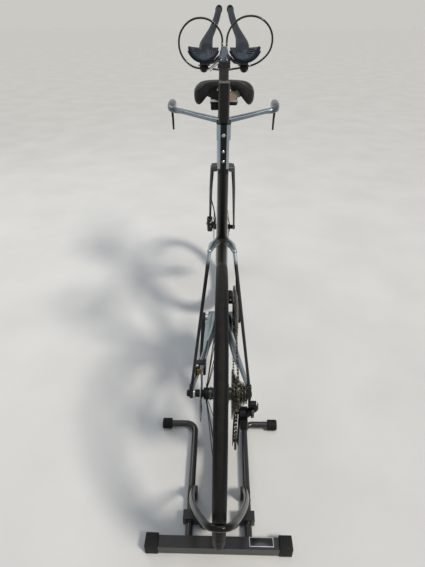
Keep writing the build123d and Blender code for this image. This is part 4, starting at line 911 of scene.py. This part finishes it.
# painted light: the left wedge in black alloy is a painted shadow, the right one in sand a painted sunlit copy
# of the base
for side, index in ((-1, 0), (1, 2)):
    hull(bm, [[saddle_at(side * x, y, z) for x, z in WEDGE] for y in (-96, -89)], index)
piece("clamp_cradles", bm, [black_alloy, bright_steel, sunlit_base_nylon], "frame")


# Cockpit
def stations(rows, steps, side=1):
    """Smooth stations from (x, y, z, width, height) in millimetres from the head tube's top."""
    return [(*bars(side * x, y, z), w, h) for x, y, z, w, h in spline(rows, steps)]


# base bar, from the middle out to one tip
HALF_BAR = [
    # side, ahead, up, depth, thickness
    (25.0, 62.0, 51.0, 35.0, 20.0), (90.0, 70.0, 64.0, 32.0, 18.0), (146.0, 79.0, 75.5, 29.0, 17.0),
    (174.0, 83.5, 79.0, 25.0, 20.0), (190.0, 96.0, 81.0, 23.0, 23.0), (195.0, 114.0, 82.6, 29.0, 30.0),
    (196.5, 136.0, 84.4, 32.0, 33.0), (197.0, 162.0, 86.0, 32.0, 33.0), (199.0, 184.0, 88.2, 27.0, 28.0),
    (200.0, 193.0, 89.0, 19.0, 20.0), (200.2, 195.0, 89.0, 9.0, 10.0),
]
bm = bmesh.new()
skin(bm, stations(HALF_BAR, 6, -1)[::-1] + [(*bars(0, 62, 51), 35.0, 20.0)] + stations(HALF_BAR, 6), sides=32,
     power=2.5)
piece("smooth_base_bar", bm, [horn_lacquer], "steering", ("base_bar",), angle=60)

ARM_X, ARM_Z = 70.0, 220.4         # the straight bars under the arm cups

# extensions: the scoop in front of the cup, and the bar to the grip
SCOOP = [
    # side, ahead, up, width, height
    (68.0, 147.8, 241.0, 48.0, 40.0), (68.0, 154.0, 249.0, 52.0, 52.0), (66.8, 176.0, 268.0, 50.0, 49.0),
    (65.0, 202.0, 285.0, 46.0, 34.0), (57.0, 252.0, 307.0, 31.0, 27.0), (46.0, 298.0, 327.0, 24.5, 24.5),
    (37.5, 341.0, 346.0, 24.0, 24.0), (30.5, 382.0, 364.2, 24.0, 24.0), (26.4, 418.0, 379.3, 24.0, 24.0),
    (23.5, 445.5, 390.8, 24.0, 24.0),
]
bm = bmesh.new()
for side in (-1, 1):
    skin(bm, stations(SCOOP, 5, side), sides=28, power=2.7)
    rod(bm, bars(side * ARM_X, 72, ARM_Z), bars(side * ARM_X, 157, ARM_Z), 12.0, sides=28)
    turned(bm, bars(side * ARM_X, 72.2, ARM_Z), (0, -1, 0),
           [(12, 0), (11.6, 3), (9.6, 6.5), (5.5, 10), (0, 11.4)], sides=28, index=1)
piece("forearm_extensions", bm, [dull_carbon, rubber], "steering", ("extensions",), angle=50)

# grips with a ribbed end
GRIP = [(0, 0.3), (14, 0.3), (14.2, 2), (13.4, 3), (14.0, 4.5), (13.2, 6), (13.8, 7.5), (13.0, 9), (13.4, 11),
        (13.0, 14), (12.2, 18), (10.2, 22), (7.0, 25), (3.0, 26.6), (0, 27)]
bm = bmesh.new()
for side in (-1, 1):
    foot, end = bars(side * 30, 384, 365), bars(side * 23.5, 446, 391)
    along = (end - foot).normalized()
    turned(bm, end, along, GRIP, sides=28)
piece("ribbed_grips", bm, [rubber], "steering", ("grips",), angle=50)

# elbow pads: foam under knit, with diagonal grooves pressed into the bed, their bottoms in black rubber as
# painted shade
CUP_X, CUP_Z, CUP_BACK, CUP_FRONT, CUP_TAPER = ARM_X, 295.0, 42.0, 142.0, 16.0
PAD_OUT, PAD_BED = 54.7, 44.0
PAD_ROWS, PAD_STEPS = 52, 64
GROOVE_EVERY, GROOVE_DEEP = 11.5, 3.6
bm = bmesh.new()
for side in (-1, 1):
    rings, shaded_grooves = [], set()
    for n in range(PAD_ROWS + 1):
        y = CUP_BACK - 2 + (CUP_FRONT - CUP_BACK + 4) * n / PAD_ROWS
        less = CUP_TAPER * (y - CUP_BACK) / (CUP_FRONT - CUP_BACK)
        from_end = min(y - (CUP_BACK - 2), CUP_FRONT + 2 - y)
        full = sqrt(max(0.0, 1 - (1 - min(from_end, 5.0) / 5.0) ** 2)) * 0.7 + 0.3
        bed_r, bed_z = PAD_BED - less * 1.3, CUP_Z - less * 0.55
        outer, inner = [], []
        for k in range(PAD_STEPS + 1):
            t = k / PAD_STEPS
            edge = sqrt(max(0.0, 1 - abs(2 * t - 1) ** 10)) * 0.85 + 0.15
            oa, ia = radians(-75 + 160 * t), radians(-80 + 156 * t)
            o = Vector((CUP_X + (PAD_OUT - less) * sin(oa), CUP_Z - less - (PAD_OUT - less) * cos(oa)))
            i = Vector((CUP_X - 4 + bed_r * sin(ia), bed_z - bed_r * cos(ia)))
            wave = ((ia * PAD_BED + (y - 92) * 0.22) / GROOVE_EVERY) % 1.0
            wing = 0.05 < t < 0.3 or 0.68 < t < 0.95
            pressed = wing and 9 < from_end and wave < 0.5
            groove = GROOVE_DEEP * max(0.0, 1 - (wave / 0.25 - 1) ** 2) if pressed else 0.0
            out, middle, thick = (o - i).normalized(), (o + i) / 2, (o - i).length / 2 * edge * full
            outer.append(middle + out * thick)
            inner.append(middle - out * (thick - groove))
            # painted shade: the deeper groove faces get black rubber
            if groove > 1.2:
                shaded_grooves.add((n, 2 * PAD_STEPS + 1 - k))
        rings.append([bars(side * x, y, z) for x, z in outer + inner[::-1]])
    count = len(rings[0])
    rings = quilt(bm, rings, lambda n, k: (n, k) in shaded_grooves)
    for ends in (rings[0], rings[-1]):
        for k in range(count // 2 - 1):
            bm.faces.new((ends[k], ends[k + 1], ends[count - 2 - k], ends[count - 1 - k]))
pads = piece("grooved_elbow_pads", bm, [pad_fabric, rubber], "steering", ("elbow_pads",),
             angle=50)

# bolts, ferrules and clamps of the cockpit
bm = bmesh.new()
for side in (-1, 1):
    for y in (60, 100):
        socket_bolt(bm, bars(side * 11, y - 1, 244.7), (0, 0, 1), 4.4, 3.6, index=1)
    socket_bolt(bm, bars(side * 8, 73.6, 252), (0, -1, 0), 3.4, 3.2, index=1)
    for x in (52, 88):
        turned(bm, bars(side * x, 84, 228.6), (0, 0, -1),
               [(0, -0.3), (4.0, -0.3), (4.0, 3.2), (3.2, 4), (0, 4)], index=1)
    # ferrules where the housings end
    rod(bm, bars(side * 8, 104.2, 267), bars(side * 8, 122, 267), 3.5, sides=16, index=1)
    rod(bm, bars(side * 10, 89.4, 206), bars(side * 10, 104, 206), 3.4, sides=16)
    # extension clamps under the wing
    turned(bm, bars(side * ARM_X, 73, ARM_Z), (0, 1, 0),
           [(12.1, 0), (15.0, 0), (15.0, 22), (12.1, 22), (12.1, 0)], sides=32)
    for x in (58, 82):
        socket_bolt(bm, bars(side * x, 72.8, 212.4), (0, -1, 0), 2.8, 2.6, index=1)
# barrel fitting of the left hose
rod(bm, bars(-44, 55, 220), bars(-20, 59, 239), 5.0, sides=20, index=1)
rod(bm, bars(-50, 54, 215), bars(-44, 55, 220), 6.0, sides=20, index=1)
piece("cockpit_bolts", bm, [black_alloy, bright_steel], "steering")

# hoses: two round loops through the corners that the solids give
HOSE_R = 3.5
HOSES = [
    [(-8, 122, 267), (-8, 178, 267), (-6, 192, 320), (-53, 194, 366), (-119, 196, 366), (-166, 198, 320),
     (-166, 196, 254), (-119, 192, 208), (-60, 188, 207), (-10, 150, 206), (-10, 104, 206)],
    [(8, 122, 267), (8, 178, 267), (11, 192, 328), (59, 194, 372), (127, 196, 372), (175, 198, 328),
     (175, 196, 266), (127, 192, 222), (62, 188, 209), (10, 150, 206), (10, 104, 206)],
]


def rounded(corners, steps=8):
    """A smooth line that touches the middle of every leg between the corners."""
    points = [Vector(c) for c in corners]
    halves = [points[0]] + [(a + b) / 2 for a, b in zip(points[1:], points[2:-1])] + [points[-1]]
    done = [halves[0]]
    for a, c, b in zip(halves, points[1:-1], halves[1:]):
        done += [a.lerp(c, j / steps).lerp(c.lerp(b, j / steps), j / steps) for j in range(1, steps + 1)]
    return done


bm = bmesh.new()
for corners in HOSES:
    sweep(bm, [bars(*p) for p in rounded(corners)], HOSE_R, sides=16)
piece("cockpit_hoses", bm, [hose_jacket], "steering", ("left_housing", "right_housing"), angle=60)

# lever pivots
bm = bmesh.new()
for side in (-1, 1):
    rod(bm, bars(side * 203 - 6, 186, 70), bars(side * 203 + 6, 186, 70), 2.6, sides=14, index=1)
piece("lever_pivots", bm, [black_alloy, bright_steel], "steering")

# stem cap and pinch bolts
bm = bmesh.new()
HEAD_ANGLE, FORK_OFFSET = radians(72.5), 0.045
# along the steerer, in millimetres from the axle's level
CROWN_UP, STEM_FOOT, STEM_TOP = 356.0, 479.0, 513.0
axis = Vector((0, -cos(HEAD_ANGLE), sin(HEAD_ANGLE)))
steer_foot = Vector((0, FRONT_Y - FORK_OFFSET * sin(HEAD_ANGLE), AXLE_Z - FORK_OFFSET * cos(HEAD_ANGLE)))
stem_top = steer_foot + axis * STEM_TOP * MM
turned(bm, stem_top, axis,
       [(0, -0.3), (18.5, -0.3), (18.5, 1.6), (16.5, 3.2), (5.5, 3.2), (5.0, 1.6), (0, 1.6)], sides=36)
socket_bolt(bm, stem_top + axis * 0.0016, axis, 4.2, 2.0, index=1)
for h in (8, 24):
    foot = steer_foot + axis * (STEM_FOOT + h) * MM + Vector((0, -0.0204, -0.0065))
    socket_bolt(bm, foot, (0, -1, 0), 3.2, 2.4, index=1)
piece("stem_cap", bm, [black_alloy, bright_steel], "steering")

# Seat mast bolts
bm = bmesh.new()
for z, half_depth, r in ((929, 29.3, 4.2), (890, 27.4, 3.4), (865, 27.6, 3.4)):
    y = BB_Y - SEAT_LEAN * (z - BB_Z) - half_depth
    socket_bolt(bm, at(0, y, z), (0, -0.977, -0.213), r, 2.6)
piece("mast_bolts", bm, [bright_steel], "frame")

# Brake calipers
# rear: body, pad side, bridge, bolts, a bleed cover and the hose's block
bm = bmesh.new()
centre = at(-54, 77.8, 354.7)
STAY_SLOPE = 0.13636
turn = Matrix.Rotation(-atan2(STAY_SLOPE, 1), 4, "X")
up_stay, along_stay = turn @ Vector((0, 0, 1)), turn @ Vector((0, 1, 0))
brick(bm, centre + Vector((-0.0085, 0, 0)) + up_stay * 0.0012, (12.4, 47, 26), turn, edge=4)
brick(bm, centre + Vector((0.0108, 0, 0)) + up_stay * 0.0012, (7.6, 44, 26), turn, edge=3)
brick(bm, centre + Vector((0.0, 0.006, 0)) + up_stay * 0.0112, (28, 20, 6), turn, edge=2)
for shift in (-14, 14):
    foot = centre + Vector((-0.0085, 0, 0)) + up_stay * 0.0142 + along_stay * shift * MM
    socket_bolt(bm, foot, up_stay, 3.6, 3.0, index=1)
turned(bm, centre + Vector((-0.0147, 0, 0)), (-1, 0, 0),
       [(0, -0.3), (10.5, -0.3), (10.5, 1.6), (9.0, 2.6), (0, 2.6)], sides=32, index=2)
brick(bm, centre - along_stay * 0.0235 + Vector((-0.002, 0, 0)) + up_stay * 0.003, (13, 4, 16), turn,
      edge=1.2, index=2)
socket_bolt(bm, centre - along_stay * 0.0255 + Vector((0.004, 0, 0)) - up_stay * 0.004, -along_stay, 3.8, 3.0,
            index=1)
piece("rear_caliper_body", bm, [caliper_alloy, bright_steel, brass], "frame",
      ("rear_caliper",))

# front: behind the left fork leg
bm = bmesh.new()
leg_mid = steer_foot + axis * (CROWN_UP - 100) * MM + Vector((-0.042, -0.012, 0))
leg_low = Vector((-0.042, FRONT_Y - 0.023, AXLE_Z + 0.013))
leg_slope = (leg_low.y - leg_mid.y) / (leg_mid.z - leg_low.z)
up_leg = Vector((0, -leg_slope, 1)).normalized()
behind = Vector((0, -1, -leg_slope)).normalized()
turn = Matrix.Rotation(atan2(leg_slope, 1), 4, "X")
centre = leg_low + Vector((0, -leg_slope, 1)) * 0.042 + behind * 0.0133
brick(bm, centre + Vector((-0.0117, 0, 0)) - up_leg * 0.014, (24, 28, 82), turn, edge=6)
brick(bm, centre + Vector((0.0125, 0, 0)) - up_leg * 0.009, (7, 24, 64), turn, edge=3)
brick(bm, centre + Vector((0.001, 0, 0)) + behind * 0.0095 + up_leg * 0.004, (29, 7, 18), turn, edge=2.2)
for shift in (-15, 15):
    foot = centre + Vector((-0.008, 0, 0)) + behind * 0.013 + up_leg * shift * MM
    socket_bolt(bm, foot, behind, 3.6, 3.2, index=1)
# hose fitting and bleed knob
turned(bm, centre + up_leg * 0.0235 + Vector((0.008, 0, 0)), up_leg,
       [(0, -0.3), (5.2, -0.3), (5.2, 5), (4.0, 6), (4.0, 11), (3.2, 12), (0, 12)], sides=6, index=1)
turned(bm, centre + Vector((-0.0235, 0, 0)) - up_leg * 0.010, (-1, 0, 0),
       [(0, -0.3), (6.0, -0.3), (6.0, 2.4), (5.0, 3.4), (0, 3.4)], sides=24, index=2)
piece("front_caliper_body", bm, [caliper_alloy, bright_steel, brass], "steering",
      ("front_caliper",))

# Stand
RAIL_X, RAIL_Z, FRONT_FEET_Y, REAR_BAR_Y = 78.0, 17.0, 155.0, -217.0

# ribbed caps at the front feet, sleeves on the rear bar
bm = bmesh.new()
for side in (-1, 1):
    ribs = [(r, x + along) for x in [161.0 + n * 3.4 for n in range(7)]
            for r, along in ((17.0, 0.0), (16.0, 0.5), (16.0, 1.1), (17.0, 1.6))]
    turned(bm, at(0, FRONT_FEET_Y, RAIL_Z), (side, 0, 0),
           [(0, 180.4), (10.3, 180.4), (10.3, 158.4), (16.2, 158.4), (17.0, 159.6)] + ribs
           + [(17.0, 186.0), (15.4, 188.0), (0, 188.0)], sides=40)
    brick(bm, at(side * 171, REAR_BAR_Y, 19), (34, 36, 38), edge=2.4, segments=3)
    for x in (160, 167, 174, 181):
        brick(bm, at(side * x, REAR_BAR_Y, 38.2), (2.4, 31, 1.4), edge=0.4)
piece("ribbed_caps", bm, [rubber], "frame", ("stand_caps",), angle=40)

# the round hoop behind the tyre, bent from one tube
HOOP_FOOT, HOOP_TIP = at(0, -88, 51.7), at(0, -351, 379)
HOOP_BEND = [
    # half width, share of the way to the tip
    (71.0, 0.0), (70.6, 0.15), (68.0, 0.3), (62.8, 0.45), (54.5, 0.6), (44.5, 0.74), (33.5, 0.86),
    (26.8, 0.93), (19.5, 0.974), (10.0, 0.995),
]
HOOP_R = 6.98
whole_hoop = spline([(-x, share) for x, share in HOOP_BEND] + [(0.0, 1.0)] + HOOP_BEND[::-1], 6)
bm = bmesh.new()
line = [HOOP_FOOT.lerp(HOOP_TIP, share) + Vector((x * MM, 0, 0)) for x, share in whole_hoop]
sweep(bm, line, HOOP_R, sides=24)
piece("round_hoop", bm, [wet_black], "frame", ("stand_hoop",), angle=60)

# a blank plate with a pale border on the rear bar
bm = bmesh.new()
brick(bm, at(109.5, -215, 32.3), (62, 23, 0.9), edge=0.3, index=1)
brick(bm, at(109.5, -215, 32.85), (58.4, 19.6, 0.5), edge=0.15)
piece("blank_plate", bm, [plate_black, plate_edge], "frame")

# weld beads where the rails meet their sleeves and the bar
bm = bmesh.new()
for side in (-1, 1):
    for y in (-202.6, -163.4, -136.6, -99.4, -76.6):
        points = [at(side * RAIL_X, y, RAIL_Z) + Vector((a, 0, b)) for a, b in circle(0, 0, 10.4, 24)]
        sweep(bm, points + [points[0]], 1.5, sides=8)
piece("weld_beads", bm, [powder_coat], "frame", angle=60)

# broad front ends of the chainstays, lacquered with the frame
STAY_SIDES = [
    # side, then rows of side, ahead, up, width, height
    (-1, [
        (31.0, 392.0, 272.0, 26.0, 44.0), (35.5, 350.0, 279.0, 32.0, 42.0), (38.5, 300.0, 287.0, 29.0, 37.0),
        (42.0, 245.0, 296.5, 23.0, 31.0), (46.0, 190.0, 306.0, 16.0, 26.0), (50.0, 140.0, 315.0, 10.0, 21.0)]),
    (1, [
        (25.0, 392.0, 272.0, 22.0, 44.0), (26.5, 350.0, 279.0, 22.0, 42.0), (28.0, 300.0, 287.0, 20.0, 37.0),
        (36.0, 245.0, 296.5, 20.0, 31.0), (42.0, 190.0, 306.0, 17.0, 26.0), (47.0, 140.0, 315.0, 11.0, 21.0)]),
]
bm = bmesh.new()
for side, rows in STAY_SIDES:
    skin(bm, [(*at(side * x, y, z), w, h) for x, y, z, w, h in spline(rows, 6)], power=3.2)
piece("broad_chainstays", bm, [striped], "frame", angle=50)
